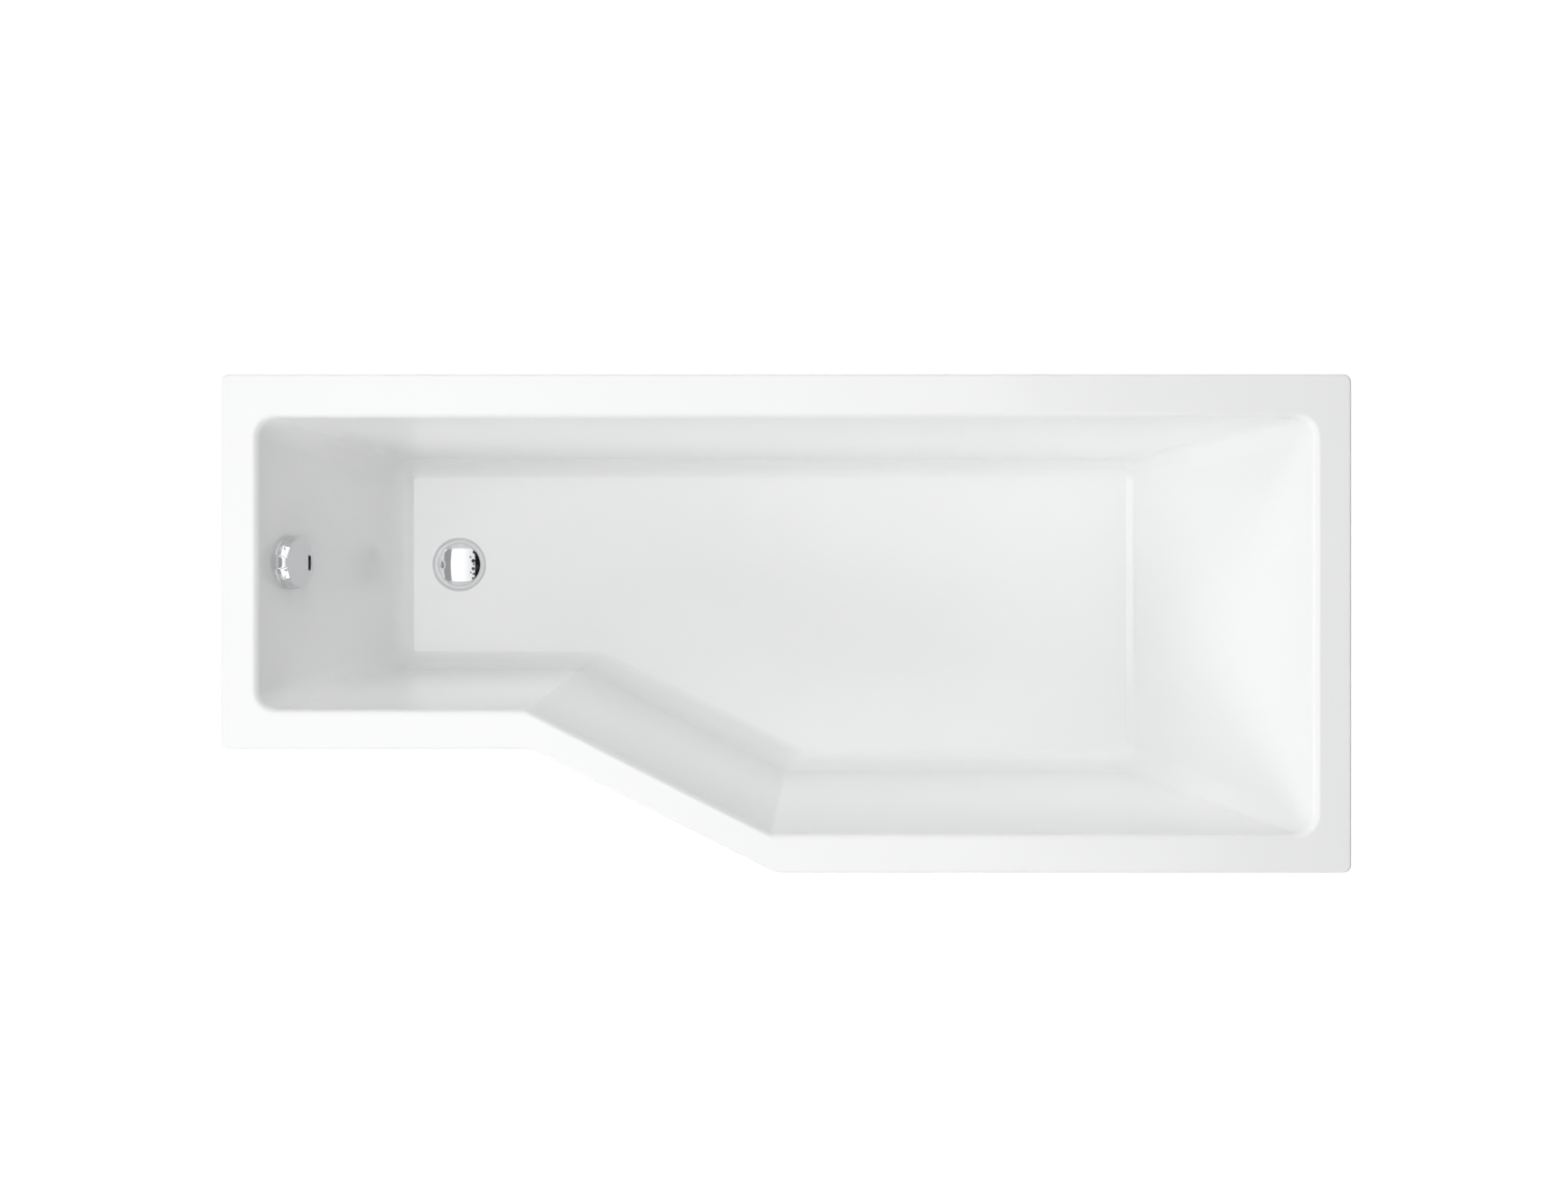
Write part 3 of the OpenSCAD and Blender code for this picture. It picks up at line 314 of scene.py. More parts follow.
def add_cells(tree, scale, *stretch):
    """A patchwork of cells: a colour for each as three channels, and the distance to its middle."""
    cells = add_node(tree, "ShaderNodeTexVoronoi", {
        "Vector": add_place(tree, *stretch), "Scale": scale})
    single = add_node(tree, "ShaderNodeSeparateColor", {"Color": cells.outputs["Color"]})
    return *single.outputs, cells.outputs["Distance"]


def noisy_finish(name, color, roughness, metallic=0.0, ior=1.5, tone=None, gloss=None, bump=None):
    """Each of tone, gloss and bump is a noise (scale and detail) and the two values it runs between,
    or the strength and the height of its bumps."""
    material, tree, shader = start_finish(name, color, roughness, metallic, ior)
    if tone:
        noise, low, high = tone
        ramp = add_ramp(tree, add_noise(tree, *noise), [(0.3, low), (0.7, high)])
        feed(tree, shader, {"Base Color": ramp})
    if gloss:
        noise, low, high = gloss
        feed(tree, shader, {"Roughness": add_range(tree, add_noise(tree, *noise), low, high)})
    if bump:
        noise, strength, height = bump
        feed(tree, shader, {"Normal": add_bump(tree, add_noise(tree, *noise), strength, height)})
    return material


# %% [markdown]
# ### White acrylic
#
# The sheet is clean, glossy and slightly cool. Vacuum forming leaves it almost perfectly smooth, so
# only a very long, shallow ripple breaks up its reflections, and its gloss varies a little.

# %% Finish: acrylic
finishes["white_acrylic"] = noisy_finish(
    "acrylic_white", (0.95, 0.95, 0.952), 0.12, ior=1.49,
    tone=((5.0, 3.0), grey(0.946, 0.002), grey(0.954, 0.002)), gloss=((60.0, 4.0), 0.09, 0.15),
    bump=((26.0, 1.0), 0.05, 0.0006))
print("made", finishes["white_acrylic"].name)

# %% [markdown]
# ### Backing, board and battens
#
# The back of a bath is never seen in use and looks it: chopped glass strands sprayed on with resin,
# which dry to a rough cream skin. The board and the battens are particle board, with flakes in
# several browns. Both patterns come from the cells of a Voronoi texture.

# %% Finishes: sprayed backing and particle board
def backing_finish():
    material = noisy_finish("sprayed_backing", (0.80, 0.77, 0.66), 0.55,
                            gloss=((90.0, 3.0), 0.38, 0.7), bump=((160.0, 5.0), 0.5, 0.0012))
    tree = material.node_tree
    place = add_node(tree, "ShaderNodeTexCoord").outputs["Object"]
    swirl = add_node(tree, "ShaderNodeTexNoise", {"Vector": place, "Scale": 14})
    warp = add_node(tree, "ShaderNodeMix", {"Factor": 0.12, "A": place, "B": swirl.outputs["Color"]},
                    data_type="VECTOR")
    strands = add_node(tree, "ShaderNodeTexVoronoi", {"Vector": warp.outputs["Result"], "Scale": 46},
                       feature="DISTANCE_TO_EDGE")
    tone = add_ramp(tree, strands.outputs["Distance"], [
        (0.0, (0.90, 0.88, 0.80, 1)), (0.08, (0.80, 0.77, 0.66, 1)), (0.4, (0.73, 0.69, 0.57, 1))])
    feed(tree, tree.nodes["Principled BSDF"], {"Base Color": tone})
    return material


def board_finish():
    material, tree, shader = start_finish("particle_board", (0.62, 0.46, 0.30), 0.7)
    red, _, _, distance = add_cells(tree, 260, (1, 1.7, 2.6))
    tone = add_ramp(tree, red, [
        (0.0, (0.38, 0.25, 0.14, 1)), (0.5, (0.60, 0.44, 0.27, 1)), (1.0, (0.76, 0.61, 0.42, 1))])
    feed(tree, shader, {"Base Color": tone, "Normal": add_bump(tree, distance, 0.35, 0.0008)})
    return material


finishes["resin_backing"], finishes["timber"] = backing_finish(), board_finish()
print("made so far:", len(finishes))

# %% [markdown]
# ### Metals
#
# Chrome is a bright mirror with the faintest haze. The rails are galvanised, which grows crystals
# of zinc in a patchwork of greys, and the screws and nuts have a finer zinc plating.

# %% Finishes: chrome, galvanised steel and zinc plating
def galvanised_finish():
    material, tree, shader = start_finish("galvanised_spangle", (0.62, 0.64, 0.66), 0.4, metallic=0.9)
    _, green, blue, _ = add_cells(tree, 120)
    tone = add_ramp(tree, green, [(0.0, grey(0.50, 0.01)), (1.0, grey(0.72, 0.01))])
    feed(tree, shader, {"Base Color": tone, "Roughness": add_range(tree, blue, 0.3, 0.5)})
    return material


finishes["galvanised_steel"] = galvanised_finish()
finishes["chrome_plate"] = noisy_finish(
    "polished_chrome", (0.72, 0.725, 0.735), 0.05, metallic=1.0, gloss=((240.0, 3.0), 0.03, 0.09))
finishes["zinc_plated_steel"] = noisy_finish(
    "zinc_plating", (0.74, 0.75, 0.76), 0.3, metallic=1.0,
    gloss=((700.0, 2.0, (1, 1, 0.1)), 0.22, 0.42))
print("made so far:", len(finishes))

# %% [markdown]
# ### Plastics and rubber
#
# The plumbing is white polypropylene, which is softer in its shine than acrylic. Feet, lever and
# cable are black, with a spark-eroded grain. Seals are matt rubber.

# %% Finishes: moulded plastics and rubber
finishes["white_plastic"] = noisy_finish(
    "white_polypropylene", (0.82, 0.82, 0.80), 0.38, tone=((30.0, 2.0), grey(0.80), grey(0.84)),
    bump=((900.0, 2.0), 0.12, 0.0002))
finishes["black_plastic"] = noisy_finish(
    "black_moulding", (0.035, 0.035, 0.038), 0.5, gloss=((500.0, 3.0), 0.42, 0.6),
    bump=((1400.0, 2.0), 0.25, 0.0002))
finishes["black_rubber"] = noisy_finish(
    "seal_rubber", (0.045, 0.045, 0.047), 0.75, tone=((80.0, 4.0), grey(0.035), grey(0.06)),
    bump=((1100.0, 3.0), 0.2, 0.0002))
print("made so far:", len(finishes))

# %% Slots and bodies of the nodes, from the record
slot_of = {part["node"]: part["material_slot"] for part in frame["record"]["subparts"]}
body_of = {node: body for body, members in frame["record"]["behaviour"]["bodies"].items()
           for node in members}
print("finishes:", ", ".join(sorted(finishes)))

# %% [markdown]
# ## Making pieces
#
# A finished piece is a mesh at the world's origin that rides on a body, takes its finish from a
# slot, and stands for one of the frame's nodes, which it hides. These helpers do that once for all pieces.
# Edges sharper than a set angle stay crisp and all others are shaded smooth. A modifier is used by
# running it and keeping the mesh that it makes.

# %% Helpers for pieces
def finish_piece(piece, node, smooth):
    """Gives a piece its node's finish and body; edges under the angle, in degrees, are smooth."""
    mesh = piece.data
    mesh.materials.clear()
    mesh.materials.append(finishes[slot_of[node]])
    mesh.shade_smooth()
    mesh.set_sharp_from_angle(angle=math.radians(smooth))
    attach(piece, body_of[node])
    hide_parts(node)
    return piece


def new_piece(name, points, faces):
    mesh = bpy.data.meshes.new(name)
    mesh.from_pydata([tuple(p) for p in points], [], faces)
    mesh.validate()
    return add_object(name, mesh)


@contextlib.contextmanager
def editing(mesh):
    """Opens a mesh for work on its points and faces, and writes it back afterwards."""
    work = bmesh.new()
    work.from_mesh(mesh)
    yield work
    work.to_mesh(mesh)
    work.free()


def outward(piece):
    """Joins points that coincide and turns all faces to look outwards."""
    with editing(piece.data) as work:
        bmesh.ops.remove_doubles(work, verts=work.verts, dist=1e-6)
        bmesh.ops.recalc_face_normals(work, faces=work.faces)
    return piece


def keep_modified(piece):
    """Keeps the mesh that the piece's modifiers make, and takes the modifiers off."""
    bpy.context.view_layer.update()
    made = bpy.data.meshes.new_from_object(piece.evaluated_get(bpy.context.evaluated_depsgraph_get()))
    piece.modifiers.clear()
    old, piece.data = piece.data, made
    bpy.data.meshes.remove(old)
    return piece


def round_edges(piece, width_mm, angle=30):
    """Rounds every edge sharper than an angle in degrees, with a Bevel modifier."""
    bevel = piece.modifiers.new("round", "BEVEL")
    bevel.width = width_mm * MM
    bevel.segments = 2
    bevel.limit_method = "ANGLE"
    bevel.angle_limit = math.radians(angle)
    bevel.use_clamp_overlap = True
    return keep_modified(piece)


def join_pieces(first, *others):
    """Adds the meshes of the others to the first piece's mesh."""
    with editing(first.data) as work:
        for piece in others:
            work.from_mesh(piece.data)
            bpy.data.objects.remove(piece)
    return first


# %% [markdown]
# Most pieces are skins: rings of points, with quads between neighbouring rings. A ring is kept as
# the numbers of its points.

# %% Helpers for skins
def steps_to(end, count):
    """Evenly spaced values from 0 to an end, in a number of steps."""
    return [end * i / count for i in range(count + 1)]


def full_turn(count):
    return steps_to(2 * math.pi, count)[:-1]


def on_circle(radius, turn, centre=(0, 0)):
    return centre[0] + radius * math.cos(turn), centre[1] + radius * math.sin(turn)


def add_ring(points, ring):
    """Adds a ring's points, given in millimetres, and returns their numbers."""
    start = len(points)
    points.extend((x * MM, y * MM, z * MM) for x, y, z in ring)
    return list(range(start, len(points)))


def bridge(a, b):
    return list(zip(a, a[1:] + a[:1], b[1:] + b[:1], b))


def is_inside(point, loop):
    """Whether a point lies in a closed loop: a line from it crosses the loop an odd number of times."""
    after = np.roll(loop, -1, axis=0)
    spans = (loop[:, 1] > point[1]) != (after[:, 1] > point[1])
    start, end = loop[spans], after[spans]
    share = (point[1] - start[:, 1]) / (end[:, 1] - start[:, 1])
    crossing = start[:, 0] + share * (end[:, 0] - start[:, 0])
    return np.count_nonzero(crossing > point[0]) % 2 == 1


def cap(points, outer, inner, flip=False):
    """Triangles between a ring and a hole inside it."""
    ids, split = outer + inner, len(outer)
    flat = np.array([points[i][:2] for i in ids]) / MM
    loops = [list(range(split)), list(range(len(ids) - 1, split - 1, -1))]
    edges = [pair for loop in loops for pair in zip(loop, loop[1:] + loop[:1])]
    found = delaunay_2d_cdt([Vector(p) for p in flat], edges, [], 0, 1e-7)[2]
    made = []
    for face in found:
        centre = flat[list(face)].mean(axis=0)
        if is_inside(centre, flat[:split]) and not is_inside(centre, flat[split:]):
            made.append(tuple(ids[i] for i in (face[::-1] if flip else face)))
    return made


# %% [markdown]
# ## The outline of the bath
#
# Seen from above, every level of the bath is the same figure: six straight lines with rounded
# corners. The rim, the walls, the coved foot and the floor differ only in how far each line has
# moved inwards and how big the rounds are. So one function draws the figure, and the bath is a
# stack of such outlines, joined into a skin. A guard point just beside each round keeps the shading
# of the flat stretches flat.

# %% Sizes of the bath, in millimetres
LENGTH = (rim_high.x - rim_low.x) / MM
WIDTH = (rim_high.y - rim_low.y) / MM
HEIGHT = rim_z / MM
NARROW_WIDTH = 564
STEP_START = 466
STEP_END = 835
DEPTH = 420
COVE_HEIGHT = 40
SHEET = 5
LIP = 35
ROLL = 8
EDGE = 4
FALL = 6
# Inward distances: waste end, head end, back, narrow front, wide front, angled front near and far.
RIM = np.array([55, 55, 65, 59, 59, 50, 50.0])
LEAN = np.array([182, 235, 75, 79, 103, 110, 116.0])
COVE = np.array([16, 5, 25, 22, 26, 31, 37.0])
SLOPE = (LEAN - COVE) / DEPTH
FLOOR_LINE = RIM + LEAN
HEAD = 1  # the head end's place in these lists
NARROW_Y = WIDTH / 2 - NARROW_WIDTH
STEP_X = STEP_START - LENGTH / 2
STEP_ANGLE = math.atan2(WIDTH - NARROW_WIDTH, STEP_END - STEP_START)
# For each of the six corners: whether it grows or shrinks when the outline moves outwards, and its
# radius on the outer edge, at the opening, at the foot of the walls and on the floor.
BULGE = np.array([1, -1, 1, 1, 1, 1])
OUTER_ROUNDS = np.array([12, 60, 40, 12, 12, 12.0])
OPEN_ROUNDS = np.array([30, 14, 15, 30, 30, 30.0])
COVE_ROUNDS = np.array([34, 8, 25, 34, 34, 34.0])
FLOOR_ROUNDS = np.array([6, 5, 5, 6, 6, 6.0])
ROUND_STEPS = 20
GUARD = 3.0
print("step angle", round(math.degrees(STEP_ANGLE), 2))


# %% Draw one outline
def step_at(off, y):
    return STEP_X + (off - (y - NARROW_Y) * math.cos(STEP_ANGLE)) / math.sin(STEP_ANGLE)


def vertices(off):
    left, right = off[0] - LENGTH / 2, LENGTH / 2 - off[1]
    back, near, wide = WIDTH / 2 - off[2], NARROW_Y + off[3], off[4] - WIDTH / 2
    return np.array([(left, near), (step_at(off[5], near), near), (step_at(off[6], wide), wide),
                     (right, wide), (right, back), (left, back)])


def round_corner(before, here, after, radius):
    """The round at one corner, with a guard point on the straight stretch at either side."""
    into = (here - before) / np.linalg.norm(here - before)
    away = (after - here) / np.linalg.norm(after - here)
    bend = math.atan2(into[0] * away[1] - into[1] * away[0], into @ away)
    side = math.copysign(1, bend) * np.array([-into[1], into[0]])
    reach = radius * math.tan(abs(bend) / 2)
    centre = here - into * reach + side * radius
    arc = [centre - radius * np.array([side[0] * math.cos(t) - side[1] * math.sin(t),
                                       side[0] * math.sin(t) + side[1] * math.cos(t)])
           for t in steps_to(bend, ROUND_STEPS)]
    return [here - into * (reach + GUARD), *arc, here + away * (reach + GUARD)]


def outline(off, rounds):
    corners = vertices(off)
    points = []
    for k in range(6):
        points += round_corner(corners[k - 1], corners[k], corners[(k + 1) % 6], rounds[k])
    return np.array(points)


def grown(rounds, by):
    return np.maximum(1.0, rounds + BULGE * by)


FLOOR_X = FLOOR_LINE[0] - LENGTH / 2
FLOOR_LENGTH = LENGTH - FLOOR_LINE[0] - FLOOR_LINE[1]


def fall_at(x_mm):
    """How much higher the floor is than at the waste's end."""
    return FALL * (x_mm - FLOOR_X) / FLOOR_LENGTH


def level(off, rounds, depth, tilt=0.0):
    """An outline at a depth under the rim; tilt is its share of the floor's fall to the waste."""
    flat = outline(off, rounds)
    return np.column_stack([flat, HEIGHT - depth + tilt * fall_at(flat[:, 0])])


# %% [markdown]
# The levels come in groups. The roll carries the flat rim over into the wall. The walls are flat
# planes. The cove is a quarter of an oval, cut short of flat so that it meets the floor in the fine
# crease that the photograph shows. Under the backrest the photograph shows a bright band instead,
# so there the cove is pulled back to a narrow flat bevel. The same functions, moved out by the
# sheet's thickness, give the underside, and moved out further the sprayed backing.

# %% Draw the groups of levels
WALL_END = DEPTH - COVE_HEIGHT
WALL_STEPS = 26
COVE_END = math.radians(80)
BEVEL_SLOPE = math.radians(38)


def roll_levels(out, steps=10):
    made = []
    for turn in steps_to(math.pi / 2, steps):
        back = out + (ROLL - out) * (1 - math.sin(turn))
        depth = out + (ROLL - out) * (1 - math.cos(turn))
        made.append(level(RIM + SLOPE * depth - back, grown(OPEN_ROUNDS, back), depth))
    return made


def wall_level(out, depth):
    share = (depth - ROLL) / (WALL_END - ROLL)
    rounds = OPEN_ROUNDS * (1 - share) + COVE_ROUNDS * share
    return level(RIM + SLOPE * depth - out, grown(rounds, out), depth)


def wall_levels(out, start=ROLL):
    """Even steps down the wall, with a guard just inside each end."""
    depths = [start + 2, *np.linspace(start, WALL_END, WALL_STEPS)[1:-1], WALL_END - 2]
    return [wall_level(out, depth) for depth in depths]


def cove_levels(out, tilt=1.0):
    made = []
    for turn in steps_to(COVE_END, 14):
        share = (1 - math.cos(turn)) / (1 - math.cos(COVE_END))
        drop = math.sin(turn) / math.sin(COVE_END)
        wall = RIM + SLOPE * (WALL_END + COVE_HEIGHT * drop)
        off = wall + COVE * share - out * (1 - share)
        if out == 0:
            rise = COVE_HEIGHT * (1 - drop) - tilt * FALL * (1 - share)
            off[HEAD] = max(wall[HEAD], FLOOR_LINE[HEAD] - rise / math.tan(BEVEL_SLOPE))
        rounds = grown(COVE_ROUNDS, out) * (1 - share) + FLOOR_ROUNDS * share
        made.append(level(off, rounds, WALL_END + (COVE_HEIGHT + out) * drop, tilt * share))
    return made


def even_level(back, depth):
    """The rim's outer edge, drawn in by the same distance on every side."""
    return level(np.full(len(RIM), back), grown(OUTER_ROUNDS, -back), depth)


def edge_levels():
    """From the inside of the lip, round its foot and up over the rim's outer edge."""
    made = [even_level(SHEET, SHEET), even_level(SHEET, SHEET + 2), even_level(SHEET, LIP),
            even_level(0, LIP), even_level(0, EDGE + 2)]
    made += [even_level(EDGE * (1 - math.cos(turn)), EDGE * (1 - math.sin(turn)))
             for turn in steps_to(math.pi / 2, 8)]
    return [*made, even_level(EDGE + 1.0, 0)]


def guard_rim():
    """One more outline on the rim, just before it rolls over into the basin."""
    return level(RIM - ROLL - 1.0, grown(OPEN_ROUNDS, ROLL + 1.0), 0)


def join_levels(levels):
    """Quads between neighbouring levels; returns points, faces and each level's ring."""
    points, faces = [], []
    rings = [add_ring(points, ring) for ring in levels]
    for low, high in zip(rings, rings[1:]):
        faces += zip(low, high, high[1:] + high[:1], low[1:] + low[:1])
    return points, faces, rings


# %% [markdown]
# ## The acrylic shell
#
# Joining the levels gives a closed skin from the underside of the floor, up the outside of the
# walls, round the lip, over the rim and down again to the basin's floor. The floor itself is a flat
# face with a round opening, where the dish for the waste is turned: a set of circles that drop from
# the floor to the dish and on through the waste hole.

# %% Draw the dish and close the skin
DISH_RADIUS = 43.5
DISH_DEPTH = 4
DISH_FOOT = 4
DISH_LIP_ROUND = 1.44
DISH_FOOT_ROUND = 1.5
HOLE_RADIUS = 26
OVERFLOW_HOLE = 33
HOLE_CUT = 40
CIRCLE_STEPS = 96


def floor_height(x_mm):
    return HEIGHT - DEPTH + fall_at(x_mm)


def circle_points(radius, height):
    """A circle round the waste, in millimetres; height is a number or a function of x."""
    middle = waste / MM
    flat = [on_circle(radius, turn, middle) for turn in full_turn(CIRCLE_STEPS)]
    return [(x, y, height(x) if callable(height) else height) for x, y in flat]


def dish_circles():
    """The circles that shape the dish: a small rounded lip, its slope, its flat and the hole."""
    dish_z = HEIGHT - DEPTH - DISH_DEPTH
    made = []
    for turn in steps_to(math.pi / 3, 6):
        sunk = DISH_LIP_ROUND * (1 - math.cos(turn))
        made.append(circle_points(DISH_RADIUS + DISH_LIP_ROUND * (1 - math.sin(turn)),
                                  lambda x, sunk=sunk: floor_height(x) - sunk))
    for turn in steps_to(math.pi / 4, 5)[::-1]:
        made.append(circle_points(DISH_RADIUS - DISH_FOOT + DISH_FOOT_ROUND * math.sin(turn) - 0.2,
                                  dish_z + DISH_FOOT_ROUND * (1 - math.cos(turn))))
    return [*made, circle_points(HOLE_RADIUS + 0.6, dish_z), circle_points(HOLE_RADIUS, dish_z - 0.6),
            circle_points(HOLE_RADIUS, dish_z - SHEET)]


def make_shell():
    under = cove_levels(SHEET)[::-1] + wall_levels(SHEET, 20)[::-1] + roll_levels(SHEET, 4)[::-1]
    over = [guard_rim(), *roll_levels(0), *wall_levels(0), *cove_levels(0)]
    points, faces, rings = join_levels([*under, *edge_levels(), *over])
    outside = circle_points(DISH_RADIUS + SHEET, HEIGHT - DEPTH - DISH_DEPTH - SHEET)
    collar = circle_points(DISH_RADIUS + SHEET, lambda x: floor_height(x) - SHEET)
    dish = [add_ring(points, circle) for circle in (*dish_circles(), outside, collar)]
    faces += cap(points, rings[-1], dish[0])
    for upper, lower in zip(dish, dish[1:]):
        faces += bridge(upper, lower)
    faces += cap(points, rings[0], dish[-1], flip=True)
    return new_piece("shell", points, faces)


def drill(piece, centre, axis, radius, length):
    """Cuts a round hole through a piece with a Boolean modifier."""
    bpy.ops.mesh.primitive_cylinder_add(vertices=CIRCLE_STEPS, radius=radius, depth=length)
    tool = bpy.context.object
    turned = axis.to_track_quat("Z", "Y").to_matrix().to_4x4()
    tool.matrix_world = Matrix.Translation(centre) @ turned
    cut = piece.modifiers.new("hole", "BOOLEAN")
    cut.operation = "DIFFERENCE"
    cut.object = tool
    cut.solver = "EXACT"
    keep_modified(piece)
    bpy.data.objects.remove(tool)


def crease_floor(piece):
    """Keeps the edge of the basin's floor crisp: it is too shallow for the angle to find."""
    slope = Vector((-FALL / FLOOR_LENGTH, 0, 1)).normalized()
    nearly_level, nearly_on = 0.99999, 0.1
    floor_faces = set()
    with editing(piece.data) as work:
        for face in work.faces:
            x, _, z = face.calc_center_median() / MM
            if face.normal.dot(slope) > nearly_level and abs(z - floor_height(x)) < nearly_on:
                floor_faces.add(face)
        for edge in work.edges:
            if sum(face in floor_faces for face in edge.link_faces) == 1:
                edge.smooth = False
    return len(floor_faces)


# %% Build the shell
shell = outward(make_shell())
drill(shell, overflow, wall_normal, OVERFLOW_HOLE * MM, HOLE_CUT * MM)
finish_piece(shell, "bath_shell", smooth=24)
print("floor faces beside the crease:", crease_floor(shell))
print("shell:", len(shell.data.polygons), "faces")

# %% [markdown]
# ## The sprayed backing
#
# The backing hugs the shell's walls and floor from outside. It is the same stack of outlines,
# moved out past the acrylic, with its own outer skin and a rounded upper edge. Its floor has a
# round opening for the waste, and its end wall one for the overflow.

# %% Build the backing
BACKING = 3.0
FILM = 0.3
BACKING_TOP = 42
BACKING_CUT, CUT_BEHIND = 30, 6
CLEAR_RADIUS = DISH_RADIUS + SHEET + 6


def make_backing():
    inside = SHEET + FILM
    outside = inside + BACKING
    outer = [*cove_levels(outside, 0)[::-1], *wall_levels(outside, BACKING_TOP + 4)[::-1]]
    crown = [wall_level((inside + outside + BACKING * math.cos(turn)) / 2,
                        BACKING_TOP + BACKING / 2 * (1 - math.sin(turn)))
             for turn in steps_to(math.pi, 8)]
    inner = [*wall_levels(inside, BACKING_TOP + 4), *cove_levels(inside)]
    points, faces, rings = join_levels([*outer, *crown, *inner])
    low = add_ring(points, circle_points(CLEAR_RADIUS, HEIGHT - DEPTH - outside))
    high = add_ring(points, circle_points(CLEAR_RADIUS, lambda x: floor_height(x) - inside))
    faces += cap(points, rings[0], low, flip=True)
    faces += cap(points, rings[-1], high)
    faces += bridge(high, low)
    return new_piece("backing", points, faces)


backing = outward(make_backing())
drill(backing, overflow - wall_normal * CUT_BEHIND * MM, wall_normal, OVERFLOW_HOLE * MM,
      BACKING_CUT * MM)
finish_piece(backing, "fibreglass_backing", smooth=30)
print("backing:", len(backing.data.polygons), "faces")

# %% [markdown]
# ## Turned pieces
#
# The plug, the waste's flange and the foot pads are round, so each is drawn as half a section and
# turned about its axis. A helper turns a section at the waste or at a foot, and another draws the
# rounds in a section.

# %% A lathe
def lathe(name, profile, centre=(0, 0), steps=96, closed=False):
    """Turns a profile of (radius, height) pairs, in millimetres, about an upright axis."""
    points, faces, rows = [], [], []
    for radius, height in profile:
        turns = full_turn(steps) if radius > 1e-6 else [0.0]
        ring = add_ring(points, [(*on_circle(radius, turn, centre), height) for turn in turns])
        rows.append(ring * (steps // len(ring)))
    for low, high in list(zip(rows, rows[1:])) + ([(rows[-1], rows[0])] if closed else []):
        for quad in bridge(low, high):
            face = list(dict.fromkeys(quad))
            if len(face) > 2:
                faces.append(face)
    return outward(new_piece(name, points, faces))


def bent(centre, radius, start, end, steps=6):
    """Points of a round in a profile, from one angle in degrees to another."""
    return [on_circle(radius, math.radians(start + part), centre)
            for part in steps_to(end - start, steps)]


def make_block(name, size, centre, rounding):
    """A box with rounded edges, its size and its centre in millimetres."""
    points = [[(c + s * side / 2) * MM for c, s, side in zip(centre, sides, size)]
              for sides in itertools.product((-1, 1), repeat=3)]
    faces = [(0, 1, 3, 2), (4, 6, 7, 5), (0, 4, 5, 1), (2, 3, 7, 6), (0, 2, 6, 4), (1, 5, 7, 3)]
    return round_edges(outward(new_piece(name, points, faces)), rounding)


# %% [markdown]
# ## The plug and the waste's flange
#
# The plug is a shallow polished dome with a small round at its edge. Below it sits the flange, a
# ring with a softened outer edge and a funnel into its neck, where three arms hold the guide for
# the plug's stem.

# %% Turn the plug and the flange
WASTE = (waste.x / MM, waste.y / MM)
PLUG_RADIUS = 35
PLUG_DOME = 5
PLUG_EDGE = 2.5
PLUG_SHOULDER = 0.9
DOME_STEPS = 24


def turn_plug():
    under = plug_low.z / MM
    sphere = (PLUG_RADIUS ** 2 + PLUG_DOME ** 2) / (2 * PLUG_DOME)
    slant = math.degrees(math.asin(PLUG_RADIUS / sphere))
    edge = bent((PLUG_RADIUS - PLUG_SHOULDER, under + PLUG_EDGE - 0.75), PLUG_SHOULDER, 0, 90 - slant)
    top_radius, top_height = edge[-1]
    lift = top_height - math.sqrt(sphere ** 2 - top_radius ** 2)
    dome = []
    for share in steps_to(1, DOME_STEPS)[1:]:
        radius = top_radius * (1 - share)
        dome.append((radius, lift + math.sqrt(sphere ** 2 - radius ** 2)))
    return lathe("plug_dome", [
        (0, under), (PLUG_RADIUS - 1.2, under),
        *bent((PLUG_RADIUS - 0.8, under + 0.8), 0.8, -90, 0, 4), *edge, *dome], WASTE, 128)


def turn_flange():
    low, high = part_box("waste_flange")
    foot, top = low.z / MM, high.z / MM
    neck, bore, radius = 24.5, 21.5, 34
    ring = lathe("flange", [
        (bore, foot), (neck - 0.5, foot), (neck, foot + 0.5), (neck, top - 2.5),
        (radius - 0.4, top - 2.5), (radius, top - 2.1), *bent((radius - 1.2, top - 1.2), 1.2, 0, 90),
        *bent((26.2, top - 0.8), 0.8, 90, 135, 3), (bore + 0.3, top - 2.8), (bore, top - 3.4)],
        WASTE, closed=True)
    guide = lathe("guide", [(4.1, foot + 2), (6.6, foot + 2), (7, foot + 2.4), (7, foot + 13.6),
                            (6.6, foot + 14), (4.1, foot + 14)], WASTE, 48, closed=True)
    arms = []
    for turn in (90, 210, 330):
        arm = make_block("arm", (14.4, 2.5, 6), (14.2, 0, foot + 5), 0.4)
        arm.data.transform(Matrix.Translation((waste.x, waste.y, 0))
                           @ Matrix.Rotation(math.radians(turn), 4, "Z"))
        arms.append(arm)
    return join_pieces(ring, guide, *arms)


finish_piece(turn_plug(), "plug_cap", smooth=40)
finish_piece(turn_flange(), "waste_flange", smooth=40)
print("plug and flange turned")

# %% [markdown]
# ## The overflow knob
#
# The knob is a round cap with a nib on top for the thumb and a notch at the bottom where water
# enters, closed in front by a lip. Its outline is one closed curve, and the cap is that curve
# stacked, drawn in a little at the front for the rounded edge. A slot in the face, above the lip,
# lets water in as well. The knob is drawn upright and then leant back with the wall.

# %% Draw the knob
KNOB_RADIUS = 41
KNOB_GAP = 5
KNOB_DEPTH = 17
KNOB_SKIN = 2.5
NIB = (21, 4)
NIB_ROUND = 1.6
NOTCH = (22, 4.5)
NOTCH_LIP = 4.0
SLOT_PLACE = 27.4
SLOT = (23, 6.6)
SLOT_SQUARENESS = 0.45
